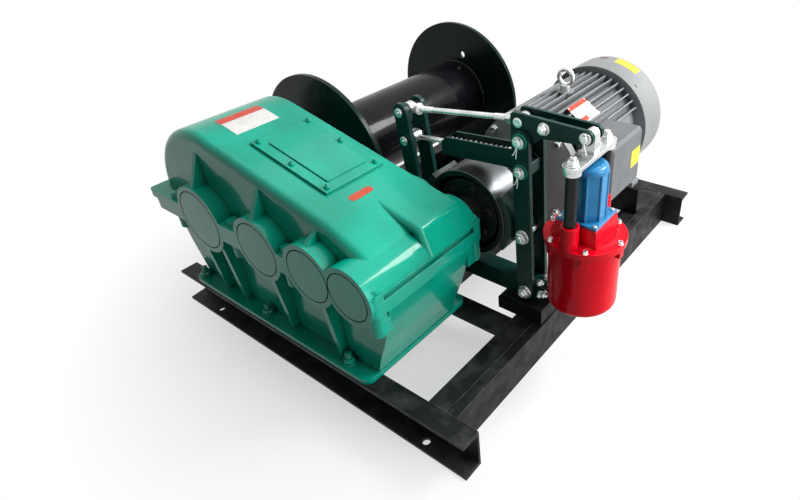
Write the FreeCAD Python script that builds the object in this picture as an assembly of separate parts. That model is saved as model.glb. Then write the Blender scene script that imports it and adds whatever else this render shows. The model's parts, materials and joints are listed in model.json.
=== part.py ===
import FreeCAD, Part
import math
import os

os.makedirs("parts", exist_ok=True)
V = FreeCAD.Vector

# Mooring winch: electric rope drum, three stage gearbox, motor and spring-set drum brake on a channel frame.
# Millimetres. +Z is up and the ground is z = 0. X runs along the gearbox from the drum side (-X) to the
# motor side (+X); Y runs from the gearbox (-Y) to the motor fan (+Y). The origin is the middle of the base.

# ---------------------------------------------------------------- driving dimensions
FRAME_X = 1000.0          # length of the front and rear rails
FRAME_Y = 1150.0          # front rail to rear rail, outside
RAIL_H = 100.0            # rolled channel height
RAIL_B = 48.0             # rolled channel flange width
RAIL_WEB = 5.3
RAIL_FLANGE = 8.5
ANCHOR_HOLE = 18.0        # foundation bolt holes
SHAFT_Z = 344.0           # height of every gearbox, drum and motor shaft
OUT_X = -268.0            # output (drum) shaft
GEAR_1 = 221.0            # centre distances, output to input
GEAR_2 = 168.0
GEAR_3 = 117.0
BOSS_R = (86.0, 77.0, 73.0, 66.0)
CASE_SET_BACK = 2.0       # outside of the front rail to the near bearing faces
CASE_W = 338.0            # near bearing faces to far bearing faces
WALL_IN_NEAR = 38.0       # near bearing faces to near casing wall
WALL_IN_FAR = 50.0        # far bearing faces to far casing wall
BIG_END_R = 205.0
TOP_TILT = 13.4           # slope of the casing top, degrees
DRUM_CORE_R = 109.5
DRUM_FLANGE_R = 232.0
DRUM_GAP = 40.0           # far bearing faces to the near drum flange
DRUM_END_ROOM = 170.0     # far drum flange to the outside of the rear rail
DRUM_FLANGE_T = 12.0
WHEEL_R = 105.0           # brake wheel
WHEEL_GAP = 26.0          # far bearing faces to the brake wheel
WHEEL_W = 90.0
ARM_SET_BACK = 14.0       # edge of the brake wheel to the near arm plates
ARM_T = 10.0
ARM_SPAN = 66.0           # outside to outside of a pair of arm plates
ARM_W = 41.0
PIVOT_DX = 151.0          # brake arm pivots, each side of the wheel axis
PIVOT_Z = 171.0
MOTOR_CENTRE_H = 160.0    # motor foot to motor shaft
MOTOR_R = 150.0           # over the fins
MOTOR_COVER_R = 164.0
MOTOR_GAP = 276.0         # far bearing faces to the motor's drive end face
MOTOR_L = 490.0           # drive end face to the end of the fan cover
THRUSTER_X = 517.0
TANK_R = 76.0
TANK_Z0 = 190.0
TANK_Z1 = 360.0
THR_PIN_Z = 176.0         # pin the thruster stands on
THR_PIN_R = 6.0
ROD_DY = 68.0             # thruster rods, each side of its axis

RUN_FIT = 0.05            # radial clearance of a pin or shaft that turns
OPEN_FIT = 1.6            # radial clearance where the linkage closes on itself

# ---------------------------------------------------------------- derived
X0 = -FRAME_X / 2.0
X1 = FRAME_X / 2.0
Y0 = -FRAME_Y / 2.0
Y1 = FRAME_Y / 2.0
SHAFT_X = (OUT_X, OUT_X + GEAR_1, OUT_X + GEAR_1 + GEAR_2, OUT_X + GEAR_1 + GEAR_2 + GEAR_3)
IN_X = SHAFT_X[3]
CASE_Y0 = Y0 + CASE_SET_BACK
CASE_Y1 = CASE_Y0 + CASE_W
CASE_MID = (CASE_Y0 + CASE_Y1) / 2.0
WALL_Y0 = CASE_Y0 + WALL_IN_NEAR
WALL_Y1 = CASE_Y1 - WALL_IN_FAR
DRUM_Y0 = CASE_Y1 + DRUM_GAP
DRUM_Y1 = Y1 - DRUM_END_ROOM
WHEEL_Y0 = CASE_Y1 + WHEEL_GAP
ARM_Y0 = WHEEL_Y0 + ARM_SET_BACK
MOTOR_Y0 = CASE_Y1 + MOTOR_GAP
MOTOR_Y1 = MOTOR_Y0 + MOTOR_L
ARM_MID = ARM_Y0 + ARM_SPAN / 2.0


# ---------------------------------------------------------------- helpers
def box(x0, x1, y0, y1, z0, z1):
    return Part.makeBox(x1 - x0, y1 - y0, z1 - z0, V(x0, y0, z0))


def cyl_y(x, z, r, y0, y1):
    return Part.makeCylinder(r, y1 - y0, V(x, y0, z), V(0, 1, 0))


def cyl_z(x, y, r, z0, z1):
    return Part.makeCylinder(r, z1 - z0, V(x, y, z0), V(0, 0, 1))


def prism_y(points, y0, y1):
    wire = Part.makePolygon([V(x, y0, z) for x, z in points] + [V(points[0][0], y0, points[0][1])])
    return Part.Face(wire).extrude(V(0, y1 - y0, 0))


def prism_x(points, x0, x1):
    wire = Part.makePolygon([V(x0, y, z) for y, z in points] + [V(x0, points[0][0], points[0][1])])
    return Part.Face(wire).extrude(V(x1 - x0, 0, 0))


def prism_z(points, z0, z1):
    wire = Part.makePolygon([V(x, y, z0) for x, y in points] + [V(points[0][0], points[0][1], z0)])
    return Part.Face(wire).extrude(V(0, 0, z1 - z0))


def fuse(shapes):
    out = shapes[0]
    if len(shapes) > 1:
        out = shapes[0].fuse(shapes[1:])
    return out.removeSplitter()


def save(name, shape):
    shape.exportStep("parts/" + name + ".step")


def hex_y(x, z, across, y0, y1):
    r = across / math.sqrt(3.0)
    pts = [(x + r * math.cos(math.radians(a)), z + r * math.sin(math.radians(a))) for a in range(0, 360, 60)]
    return prism_y(pts, y0, y1)


def hex_z(x, y, across, z0, z1):
    r = across / math.sqrt(3.0)
    pts = [(x + r * math.cos(math.radians(a)), y + r * math.sin(math.radians(a))) for a in range(0, 360, 60)]
    return prism_z(pts, z0, z1)


def channel_profile(height, breadth, web, flange):
    # open towards +u, web at u = 0
    return [
        (0.0, 0.0),
        (breadth, 0.0),
        (breadth, flange * 0.8),
        (web, flange * 1.15),
        (web, height - flange * 1.15),
        (breadth, height - flange * 0.8),
        (breadth, height),
        (0.0, height),
    ]


def channel_x(x0, x1, web_y, side, height, breadth, web, flange, z0):
    # a channel along X: its web stands at web_y and its flanges point to side (+1 or -1) in Y
    pts = [(web_y + side * u, z0 + w) for u, w in channel_profile(height, breadth, web, flange)]
    return prism_x(pts, x0, x1)


def channel_y(y0, y1, web_x, side, height, breadth, web, flange, z0):
    pts = [(web_x + side * u, z0 + w) for u, w in channel_profile(height, breadth, web, flange)]
    return prism_y(pts, y0, y1)


def link_plate(p, q, width, y0, y1):
    # flat bar from p to q in the XZ plane with round ends
    (px, pz), (qx, qz) = p, q
    length = math.hypot(qx - px, qz - pz)
    ux, uz = (qx - px) / length, (qz - pz) / length
    nx, nz = -uz * width / 2.0, ux * width / 2.0
    bar = prism_y([(px + nx, pz + nz), (qx + nx, qz + nz), (qx - nx, qz - nz), (px - nx, pz - nz)], y0, y1)
    return fuse([bar, cyl_y(px, pz, width / 2.0, y0, y1), cyl_y(qx, qz, width / 2.0, y0, y1)])


def rod_xz(p, q, r, y):
    # round bar from p to q in the XZ plane at the given Y
    d = V(q[0] - p[0], 0, q[1] - p[1])
    return Part.makeCylinder(r, d.Length, V(p[0], y, p[1]), d)


# ---------------------------------------------------------------- base frame
def rail_channel_x(web_y, side):
    return channel_x(X0, X1, web_y, side, RAIL_H, RAIL_B, RAIL_WEB, RAIL_FLANGE, 0.0)


def front_rail():
    rail = rail_channel_x(Y0 + RAIL_B, -1)
    for x in ANCHOR_X:
        rail = rail.cut(cyl_z(x, Y0 + ANCHOR_IN, ANCHOR_HOLE / 2.0, -1.0, RAIL_FLANGE * 1.5))
    return rail


def rear_rail():
    rail = rail_channel_x(Y1 - RAIL_B, 1)
    for x in ANCHOR_X:
        rail = rail.cut(cyl_z(x, Y1 - ANCHOR_IN, ANCHOR_HOLE / 2.0, -1.0, RAIL_FLANGE * 1.5))
    return rail


ANCHOR_IN = 20.0
ANCHOR_X = (X0 + 122.0, X1 - 122.0)
LONG_Y0 = Y0 + RAIL_B
LONG_Y1 = Y1 - RAIL_B
RIGHT_RAIL_X = 371.0
SIDE_GAP = 2.0
SIDE_X0 = RIGHT_RAIL_X + RAIL_B + SIDE_GAP
SIDE_B = 24.0
MID_RAIL_X = 2.0 * IN_X - RIGHT_RAIL_X - RAIL_B
LEFT_RAIL_X = -RIGHT_RAIL_X - RAIL_B


def long_rail(x_web, side, y0):
    return channel_y(y0, LONG_Y1, x_web, side, RAIL_H, RAIL_B, RAIL_WEB, RAIL_FLANGE, 0.0)


def rail_closing_channel():
    # shallow folded channel standing beside the right rail, web outward
    x1 = SIDE_X0 + SIDE_B
    return channel_y(LONG_Y0, LONG_Y1, x1, -1, RAIL_H, SIDE_B, 4.0, 4.0, 0.0)


GEAR_BAR_Y1 = CASE_Y1 + 12.0
GEAR_BAR_W = 65.0
GEAR_BAR_T = 8.0


def gearbox_crossbar():
    # rolled angle: flat leg on top under the gearbox feet, standing leg at the back
    y0, y1 = GEAR_BAR_Y1 - GEAR_BAR_W, GEAR_BAR_Y1
    z0 = RAIL_H - GEAR_BAR_W
    leg = [(y0, RAIL_H), (y1, RAIL_H), (y1, z0), (y1 - GEAR_BAR_T, z0)]
    leg += [(y1 - GEAR_BAR_T, RAIL_H - GEAR_BAR_T), (y0, RAIL_H - GEAR_BAR_T)]
    return prism_x(leg, LEFT_RAIL_X + RAIL_B, RIGHT_RAIL_X)


PEDESTAL_Y0 = DRUM_Y1 + 30.0
PEDESTAL_Y1 = PEDESTAL_Y0 + 110.0
PEDESTAL_HALF = 130.0


def pedestal_crossbar():
    web = PEDESTAL_Y0 + 2.0
    return channel_x(LEFT_RAIL_X + RAIL_B, MID_RAIL_X, web, 1, RAIL_H, RAIL_B, RAIL_WEB, RAIL_FLANGE, 0.0)


MOTOR_BED_H = SHAFT_Z - MOTOR_CENTRE_H - RAIL_H
MOTOR_FOOT_Y = (MOTOR_Y0 + 134.0, MOTOR_Y0 + 344.0)
MOTOR_FOOT_DX = 127.0


def motor_beds():
    beds = []
    for y in MOTOR_FOOT_Y:
        x1 = RIGHT_RAIL_X + RAIL_B
        beds.append(channel_x(MID_RAIL_X, x1, y - 22.0, 1, MOTOR_BED_H, 42.0, 5.0, 8.0, RAIL_H))
    return Part.makeCompound(beds)


# ---------------------------------------------------------------- gearbox
FOOT_T = 13.0
FOOT_X0 = -425.0
FOOT_X1 = 242.0
SPLIT_UP = 19.0           # parting flange above the shaft line
SPLIT_DOWN = 28.0
FLANGE_X0 = OUT_X - 226.0
FLANGE_X1 = IN_X + 67.0
FLANGE_Y0 = CASE_Y0
FLANGE_Y1 = CASE_Y1
FLANGE_R = 14.0
LOWER_FLANGE_SHORT = 20.0  # lower flange ends this far inside the upper one at the drum end
COVER_IN = 14.0           # bearing bore cover inside the boss
COVER_GROOVE = 3.0
COVER_SEAT = 6.0
CASE_FILLET = 20.0
STEP_Y = CASE_MID - 6.0   # the far part of the small end starts here and stands higher
STEP_FILLET = 12.0
KNEE_X = IN_X - 73.0      # where the near part of the top turns down to the nose
NOSE_X = IN_X - 38.0
NOSE_Z = SHAFT_Z - 6.0
NOSE_R = 90.0
END_TOP_X = IN_X + 45.0
END_TOP_R = 20.0
END_PLAN_R = 38.0
LUG_HOLE_R = 9.0
LUG_HOLE_DEEP = 16.0
IN_BOSS_SHORT = 15.0      # the input boss ends this far inside the other far faces


def top_z(x):
    # height of the sloping casing top
    tilt = math.radians(TOP_TILT)
    return SHAFT_Z + BIG_END_R / math.cos(tilt) - (x - OUT_X) * math.tan(tilt)


def arc_about(x, z, r, a0, a1, y):
    # arc in the XZ plane about (x, z) from angle a0 to a1, radians from +X towards +Z
    ends = [V(x + r * math.cos(a), y, z + r * math.sin(a)) for a in (a0, (a0 + a1) / 2.0, a1)]
    return Part.Arc(ends[0], ends[1], ends[2]).toShape()


def near_body():
    # big end arc, sloping top, knee and rounded nose, right through from wall to wall
    y = WALL_Y0
    slope_start = math.pi / 2.0 - math.radians(TOP_TILT)
    knee = V(KNEE_X, y, top_z(KNEE_X))
    reach = math.hypot(KNEE_X - NOSE_X, knee.z - NOSE_Z)
    towards = math.atan2(knee.z - NOSE_Z, KNEE_X - NOSE_X)
    nose_start = towards - math.acos(NOSE_R / reach)
    nose_end = math.asin((SHAFT_Z - NOSE_Z) / NOSE_R)
    big = arc_about(OUT_X, SHAFT_Z, BIG_END_R, math.pi, slope_start, y)
    nose = arc_about(NOSE_X, NOSE_Z, NOSE_R, nose_start, nose_end, y)
    edges = [
        big,
        Part.makeLine(big.Vertexes[-1].Point, knee),
        Part.makeLine(knee, nose.Vertexes[0].Point),
        nose,
        Part.makeLine(nose.Vertexes[-1].Point, big.Vertexes[0].Point),
    ]
    body = Part.Face(Part.Wire(edges)).extrude(V(0, WALL_Y1 - WALL_Y0, 0))
    rim = []
    for e in body.Edges:
        at_near = max(abs(v.Point.y - WALL_Y0) for v in e.Vertexes) < 0.1
        if at_near and max(v.Point.z for v in e.Vertexes) > SHAFT_Z + 1.0:
            rim.append(e)
    return body.makeFillet(CASE_FILLET, rim)


def far_end_block():
    # beyond the nose the far part carries the sloping top on to a blunt end face
    foot_z = SHAFT_Z + 1.0
    start = KNEE_X - 10.0
    end_x = FLANGE_X1 - 0.5
    profile = [(start, foot_z), (start, top_z(start)), (END_TOP_X, top_z(END_TOP_X))]
    profile += [(end_x, foot_z + SPLIT_UP), (end_x, foot_z)]
    block = prism_y(profile, STEP_Y, WALL_Y1)
    tall = top_z(start) - foot_z
    for e in block.Edges:
        a, b = e.Vertexes[0].Point, e.Vertexes[1].Point
        if abs(a.x - END_TOP_X) < 0.1 and abs(b.x - END_TOP_X) < 0.1:
            block = block.makeFillet(END_TOP_R, [e])
            break
    plan = box(start, end_x, STEP_Y, WALL_Y1, foot_z, foot_z + tall)
    for e in plan.Edges:
        a, b = e.Vertexes[0].Point, e.Vertexes[1].Point
        if abs(a.z - b.z) > 1.0 and a.x > start + 1.0 and a.y > STEP_Y + 1.0:
            plan = plan.makeFillet(END_PLAN_R, [e])
            break
    near_top = []
    for e in block.Edges:
        pts = [v.Point for v in e.Vertexes]
        at_step = max(abs(p.y - STEP_Y) for p in pts) < 0.1
        if at_step and min(p.z for p in pts) > SHAFT_Z + SPLIT_UP - 1.0 and max(p.x for p in pts) > start + 1.0:
            near_top.append(e)
    block = block.makeFillet(STEP_FILLET, near_top)
    hole_x, hole_z = END_TOP_X - 20.0, top_z(END_TOP_X) - 12.0 - LUG_HOLE_R
    return block.common(plan).cut(cyl_y(hole_x, hole_z, LUG_HOLE_R, STEP_Y - 1.0, STEP_Y + LUG_HOLE_DEEP))


def boss_faces(k):
    # near and far faces of bearing boss k
    return CASE_Y0, CASE_Y1 - (IN_BOSS_SHORT if k == 3 else 0.0)


def cover_counterbores():
    # shallow seats for the bearing bore covers, a groove wider than the covers
    out = []
    for k, (x, r) in enumerate(zip(SHAFT_X, BOSS_R)):
        seat = r - COVER_IN + COVER_GROOVE
        out.append(cyl_y(x, SHAFT_Z, seat, CASE_Y0 - 1.0, CASE_Y0 + COVER_SEAT))
        if k in (1, 2):
            out.append(cyl_y(x, SHAFT_Z, seat, CASE_Y1 - COVER_SEAT, CASE_Y1 + 1.0))
    return out


def rounded_plate(x0, x1, y0, y1, z0, z1, r):
    plate = box(x0, x1, y0, y1, z0, z1)
    corners = [e for e in plate.Edges if abs(e.Vertexes[0].Point.z - e.Vertexes[1].Point.z) > 0.5 * (z1 - z0)]
    return plate.makeFillet(r, corners)


SPLIT_BOLTS_X = (OUT_X - 118.0, OUT_X + 116.0, SHAFT_X[1] + 88.0, FLANGE_X1 - 17.0)
SPLIT_BOLT_Y = (FLANGE_Y0 + 20.0, FLANGE_Y1 - 20.0)
SPLIT_BOSS_R = 17.0
SPLIT_BOSS_L = (62.0, 62.0, 62.0, 78.0)


def upper_case():
    top = SHAFT_Z + SPLIT_UP
    parts = [near_body(), far_end_block()]
    parts.append(rounded_plate(FLANGE_X0, FLANGE_X1, FLANGE_Y0, FLANGE_Y1, SHAFT_Z, top, FLANGE_R))
    for k, (x, r) in enumerate(zip(SHAFT_X, BOSS_R)):
        y0, y1 = boss_faces(k)
        boss = cyl_y(x, SHAFT_Z, r, y0, y1)
        parts.append(boss.common(box(x - r - 1, x + r + 1, y0, y1, SHAFT_Z, SHAFT_Z + r + 1)))
    for x, r, up in zip(SHAFT_X, BOSS_R, RIB_UP):
        # web above each bearing boss, thin triangle leaning on the casing wall
        for y_face, y_wall in ((CASE_Y0 + 3.0, WALL_Y0 + 2.0), (CASE_Y1 - 3.0, WALL_Y1 - 2.0)):
            z0 = SHAFT_Z + r - 3.0
            tri = [(y_face, z0), (y_wall, z0), (y_wall, z0 + up)]
            parts.append(prism_x(tri, x + RIB_DX - RIB_T / 2.0, x + RIB_DX + RIB_T / 2.0))
    case = fuse(parts)
    groove = box(FLANGE_X1 - 7.0, FLANGE_X1 + 5.0, FLANGE_Y0 + 32.0, FLANGE_Y1 - 32.0, SHAFT_Z + 2.0, top - 3.0)
    return case.cut([groove] + cover_counterbores())


RIB_UP = (82.0, 66.0, 24.0)
RIB_DX = 7.0
RIB_T = 12.0


def lower_case():
    z_top = SHAFT_Z
    foot_top = RAIL_H + FOOT_T
    left = OUT_X - BIG_END_R
    wall = [
        (left, z_top),
        (left + 6.0, z_top - 70.0),
        (left + 24.0, z_top - 140.0),
        (left + 50.0, foot_top + 30.0),
        (left + 62.0, foot_top - 1.0),
        (FOOT_X1 - 2.0, foot_top - 1.0),
        (FOOT_X1 + 10.0, foot_top + 40.0),
        (FOOT_X1 + 34.0, foot_top + 100.0),
        (FLANGE_X1 - 9.0, z_top - 70.0),
        (FLANGE_X1 + 1.0, z_top - SPLIT_DOWN),
        (FLANGE_X1 - 3.0, z_top),
    ]
    parts = [prism_y(wall, WALL_Y0, WALL_Y1)]
    lip_x0 = FLANGE_X0 + LOWER_FLANGE_SHORT
    parts.append(rounded_plate(lip_x0, FLANGE_X1, FLANGE_Y0, FLANGE_Y1, z_top - SPLIT_DOWN, z_top, FLANGE_R))
    parts.append(rounded_plate(FOOT_X0, FOOT_X1, CASE_Y0, CASE_Y1, RAIL_H, foot_top, 22.0))
    for k, (x, r) in enumerate(zip(SHAFT_X, BOSS_R)):
        y0, y1 = boss_faces(k)
        boss = cyl_y(x, SHAFT_Z, r, y0, y1)
        parts.append(boss.common(box(x - r - 1, x + r + 1, y0, y1, SHAFT_Z - r - 1, SHAFT_Z)))
    for x, drop in zip(SPLIT_BOLTS_X, SPLIT_BOSS_L):
        for y in SPLIT_BOLT_Y:
            parts.append(cyl_z(x, y, SPLIT_BOSS_R, z_top - drop, z_top))
            side = WALL_Y0 + 5.0 if y < CASE_MID else WALL_Y1 - 5.0
            parts.append(box(x - 14.0, x + 14.0, min(y, side), max(y, side), z_top - drop, z_top))
    for x, top_z in RIBS:
        for y_out, y_foot, y_wall in (
            (CASE_Y0 + 6.0, CASE_Y0 + 22.0, WALL_Y0 + 3.0),
            (CASE_Y1 - 6.0, CASE_Y1 - 22.0, WALL_Y1 - 3.0),
        ):
            pts = [(y_out, top_z), (y_wall, top_z), (y_wall, foot_top - 2.0), (y_foot, foot_top - 2.0)]
            parts.append(prism_x(pts, x - 7.0, x + 7.0))
    return fuse(parts).cut(cover_counterbores())


RIBS = (
    (OUT_X - 34.0, SHAFT_Z - BOSS_R[0] + 8.0),
    (OUT_X + 49.0, SHAFT_Z - BOSS_R[0] + 26.0),
    (SHAFT_X[1] + 16.0, SHAFT_Z - BOSS_R[1] + 8.0),
    (SHAFT_X[2] + 18.0, SHAFT_Z - BOSS_R[2] + 8.0),
)


def bearing_covers():
    # discs in the bearing bores, level with the boss faces
    parts = []
    for k, (x, r) in enumerate(zip(SHAFT_X, BOSS_R)):
        parts.append(cyl_y(x, SHAFT_Z, r - COVER_IN, CASE_Y0, CASE_Y0 + COVER_SEAT))
        if k in (1, 2):
            parts.append(cyl_y(x, SHAFT_Z, r - COVER_IN, CASE_Y1 - COVER_SEAT, CASE_Y1))
    return Part.makeCompound(parts)


def slope_placement(x):
    # placement whose local X runs down the sloping casing top, local Z stands off it
    return FreeCAD.Placement(V(x, 0, top_z(x)), FreeCAD.Rotation(V(0, 1, 0), TOP_TILT))


COVER_X = -25.0
COVER_L = 240.0
COVER_W = 160.0
COVER_Y = CASE_MID + 18.0


def inspection_cover():
    plate = box(-COVER_L / 2, COVER_L / 2, -COVER_W / 2, COVER_W / 2, 0.0, 6.0)
    pad = box(-COVER_L / 2 + 30, COVER_L / 2 - 26, -COVER_W / 2 + 26, COVER_W / 2 - 26, 5.0, 9.0)
    cover = fuse([plate, pad])
    for u in (-COVER_L / 2 + 12, 0.0, COVER_L / 2 - 12):
        for w in (-COVER_W / 2 + 12, COVER_W / 2 - 12):
            cover = cover.fuse(hex_z(u, w, 10.0, 5.0, 9.5))
    cover = cover.removeSplitter()
    place = slope_placement(COVER_X)
    place.Base = V(place.Base.x, COVER_Y, place.Base.z)
    cover.Placement = place
    return cover


# ---------------------------------------------------------------- drum
OUT_SHAFT_R = 40.0
DRUM_SHAFT_R = 32.0
ROPE_HOLE_R = 11.0


def drum_barrel():
    tube = cyl_y(OUT_X, SHAFT_Z, DRUM_CORE_R, DRUM_Y0, DRUM_Y1)
    bore = cyl_y(OUT_X, SHAFT_Z, DRUM_CORE_R - 14.0, DRUM_Y0 + 16.0, DRUM_Y1 - 16.0)
    hub = cyl_y(OUT_X, SHAFT_Z, DRUM_SHAFT_R + 20.0, DRUM_Y0 + 15.0, DRUM_Y0 + 60.0)
    hub2 = cyl_y(OUT_X, SHAFT_Z, DRUM_SHAFT_R + 20.0, DRUM_Y1 - 60.0, DRUM_Y1 - 15.0)
    return fuse([tube.cut(bore), hub, hub2])


def drum_flange(y0):
    disc = cyl_y(OUT_X, SHAFT_Z, DRUM_FLANGE_R, y0, y0 + DRUM_FLANGE_T)
    return disc.cut(cyl_y(OUT_X, SHAFT_Z, DRUM_CORE_R, y0 - 1, y0 + DRUM_FLANGE_T + 1))


def drum_far_flange():
    disc = drum_flange(DRUM_Y1 - DRUM_FLANGE_T)
    hole = cyl_y(OUT_X + 28.0, SHAFT_Z + 135.0, ROPE_HOLE_R, DRUM_Y1 - 2 * DRUM_FLANGE_T, DRUM_Y1 + 1)
    return disc.cut(hole)


def output_coupling():
    y0 = CASE_Y1 + 0.5
    shaft = cyl_y(OUT_X, SHAFT_Z, OUT_SHAFT_R, y0, DRUM_Y0)
    ring = cyl_y(OUT_X, SHAFT_Z, 84.0, DRUM_Y0 - 18.0, DRUM_Y0)
    parts = [shaft, ring]
    for k in range(8):
        a = math.radians(45.0 * k + 22.5)
        x, z = OUT_X + 68.0 * math.cos(a), SHAFT_Z + 68.0 * math.sin(a)
        parts.append(hex_y(x, z, 19.0, DRUM_Y0 - 28.0, DRUM_Y0 - 17.0))
    return fuse(parts)


def drum_shaft():
    return cyl_y(OUT_X, SHAFT_Z, DRUM_SHAFT_R, DRUM_Y1, PEDESTAL_Y1 + 12.0)


def drum_pedestal():
    mid = (PEDESTAL_Y0 + PEDESTAL_Y1) / 2.0
    base = box(OUT_X - PEDESTAL_HALF, OUT_X + PEDESTAL_HALF, PEDESTAL_Y0, Y1 - 8.0, RAIL_H, RAIL_H + 16.0)
    web = prism_y(
        [
            (OUT_X - 100.0, RAIL_H + 15.0),
            (OUT_X + 100.0, RAIL_H + 15.0),
            (OUT_X + 62.0, SHAFT_Z),
            (OUT_X - 62.0, SHAFT_Z),
        ],
        mid - 22.0,
        mid + 22.0,
    )
    rib = prism_x(
        [
            (PEDESTAL_Y0 + 8.0, RAIL_H + 15.0),
            (PEDESTAL_Y1 - 8.0, RAIL_H + 15.0),
            (PEDESTAL_Y1 - 22.0, SHAFT_Z - 40.0),
            (PEDESTAL_Y0 + 22.0, SHAFT_Z - 40.0),
        ],
        OUT_X - 8.0,
        OUT_X + 8.0,
    )
    barrel = cyl_y(OUT_X, SHAFT_Z, 66.0, PEDESTAL_Y0 + 10.0, PEDESTAL_Y1 - 10.0)
    cap = fuse([base, web, rib, barrel])
    for dx in (-105.0, 105.0):
        cap = cap.fuse(hex_z(OUT_X + dx, PEDESTAL_Y0 + 26.0, 24.0, RAIL_H + 15.0, RAIL_H + 28.0))
        cap = cap.fuse(hex_z(OUT_X + dx, Y1 - 30.0, 24.0, RAIL_H + 15.0, RAIL_H + 28.0))
    cap = cap.cut(cyl_y(OUT_X, SHAFT_Z, DRUM_SHAFT_R + RUN_FIT, PEDESTAL_Y0 - 5.0, PEDESTAL_Y1 + 5.0))
    return cap.removeSplitter()


# ---------------------------------------------------------------- motor
MOTOR_FRAME_Y0 = MOTOR_Y0 + 24.0
MOTOR_FRAME_Y1 = MOTOR_Y1 - 124.0
FIN_DEPTH = 20.0
FIN_N = 44
FIN_T = 3.6
FIN_END = 5.0             # fins stop short of the fan cover
COWL_T = 3.0
EYEBOLT_Y = MOTOR_Y0 + 192.0


def motor_frame():
    core_r = MOTOR_R - FIN_DEPTH
    parts = [cyl_y(IN_X, SHAFT_Z, core_r, MOTOR_FRAME_Y0, MOTOR_FRAME_Y1)]
    fin_y0, fin_y1 = MOTOR_FRAME_Y0 + 8.0, MOTOR_FRAME_Y1 - FIN_END
    fin = box(IN_X + core_r - 3.0, IN_X + MOTOR_R, fin_y0, fin_y1, SHAFT_Z - FIN_T / 2.0, SHAFT_Z + FIN_T / 2.0)
    for k in range(FIN_N):
        angle = 360.0 * k / FIN_N + 180.0 / FIN_N
        low = math.sin(math.radians(angle)) < -0.72
        box_side = abs(((angle + 180.0) % 360.0) - 180.0) < 26.0
        if low or box_side:
            continue
        f = fin.copy()
        f.rotate(V(IN_X, 0, SHAFT_Z), V(0, -1, 0), angle)
        parts.append(f)
    top = SHAFT_Z + MOTOR_R
    parts.append(cyl_z(IN_X, EYEBOLT_Y, 22.0, SHAFT_Z + core_r - 10.0, top))
    spigot_r = MOTOR_COVER_R - COWL_T
    parts.append(cyl_y(IN_X, SHAFT_Z, spigot_r, MOTOR_FRAME_Y1 - 1.0, MOTOR_FRAME_Y1 + 8.0))
    frame = fuse(parts)
    for side in (-1, 1):
        for y in MOTOR_FOOT_Y:
            # the fins stop short of each foot
            x0, x1 = sorted((IN_X + side * 40.0, IN_X + side * (MOTOR_R + 1.0)))
            half = FOOT_LEG_T / 2.0 + FOOT_BAY
            bay = box(x0, x1, y - half, y + half, SHAFT_Z - MOTOR_R - 1.0, SHAFT_Z - FOOT_LEG_DOWN)
            frame = frame.cut(bay.cut(cyl_y(IN_X, SHAFT_Z, core_r, y - half - 1.0, y + half + 1.0)))
    frame = frame.cut(motor_terminal_box())
    return frame.cut(motor_feet())


FOOT_LEG_T = 34.0
FOOT_LEG_DOWN = 60.0      # top of the foot legs below the shaft
FOOT_BAY = 4.0            # foot leg to the cut fins
FOOT_PAD_W = 42.0
FOOT_PAD_T = 16.0


def motor_feet():
    foot_z = SHAFT_Z - MOTOR_CENTRE_H
    parts = []
    for side in (-1, 1):
        for y in MOTOR_FOOT_Y:
            xa, xb = IN_X + side * 50.0, IN_X + side * 160.0
            half = FOOT_PAD_W / 2.0
            pad = box(min(xa, xb), max(xa, xb), y - half, y + half, foot_z, foot_z + FOOT_PAD_T)
            leg = prism_y(
                [
                    (IN_X + side * 56.0, foot_z + FOOT_PAD_T - 1.0),
                    (IN_X + side * 122.0, foot_z + FOOT_PAD_T - 1.0),
                    (IN_X + side * 112.0, SHAFT_Z - FOOT_LEG_DOWN),
                    (IN_X + side * 56.0, SHAFT_Z - FOOT_LEG_DOWN),
                ],
                y - FOOT_LEG_T / 2.0,
                y + FOOT_LEG_T / 2.0,
            )
            foot = pad.fuse(leg).cut(cyl_y(IN_X, SHAFT_Z, MOTOR_R - FIN_DEPTH, y - 40.0, y + 40.0))
            hole = cyl_z(IN_X + side * MOTOR_FOOT_DX, y, 7.5, foot_z - 1.0, foot_z + 17.0)
            parts.append(foot.cut(hole).removeSplitter())
    return Part.makeCompound(parts)


def motor_end_shield():
    a = cyl_y(IN_X, SHAFT_Z, MOTOR_R - 4.0, MOTOR_FRAME_Y0 - 22.0, MOTOR_FRAME_Y0)
    cone = Part.makeCone(72.0, MOTOR_R - 6.0, 22.0, V(IN_X, MOTOR_FRAME_Y0 - 44.0, SHAFT_Z), V(0, 1, 0))
    nose = cyl_y(IN_X, SHAFT_Z, 58.0, MOTOR_FRAME_Y0 - 56.0, MOTOR_FRAME_Y0 - 40.0)
    shield = fuse([a, cone, nose])
    return shield.cut(cyl_y(IN_X, SHAFT_Z, 22.0, MOTOR_FRAME_Y0 - 60.0, MOTOR_FRAME_Y0 - 30.0))


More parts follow.
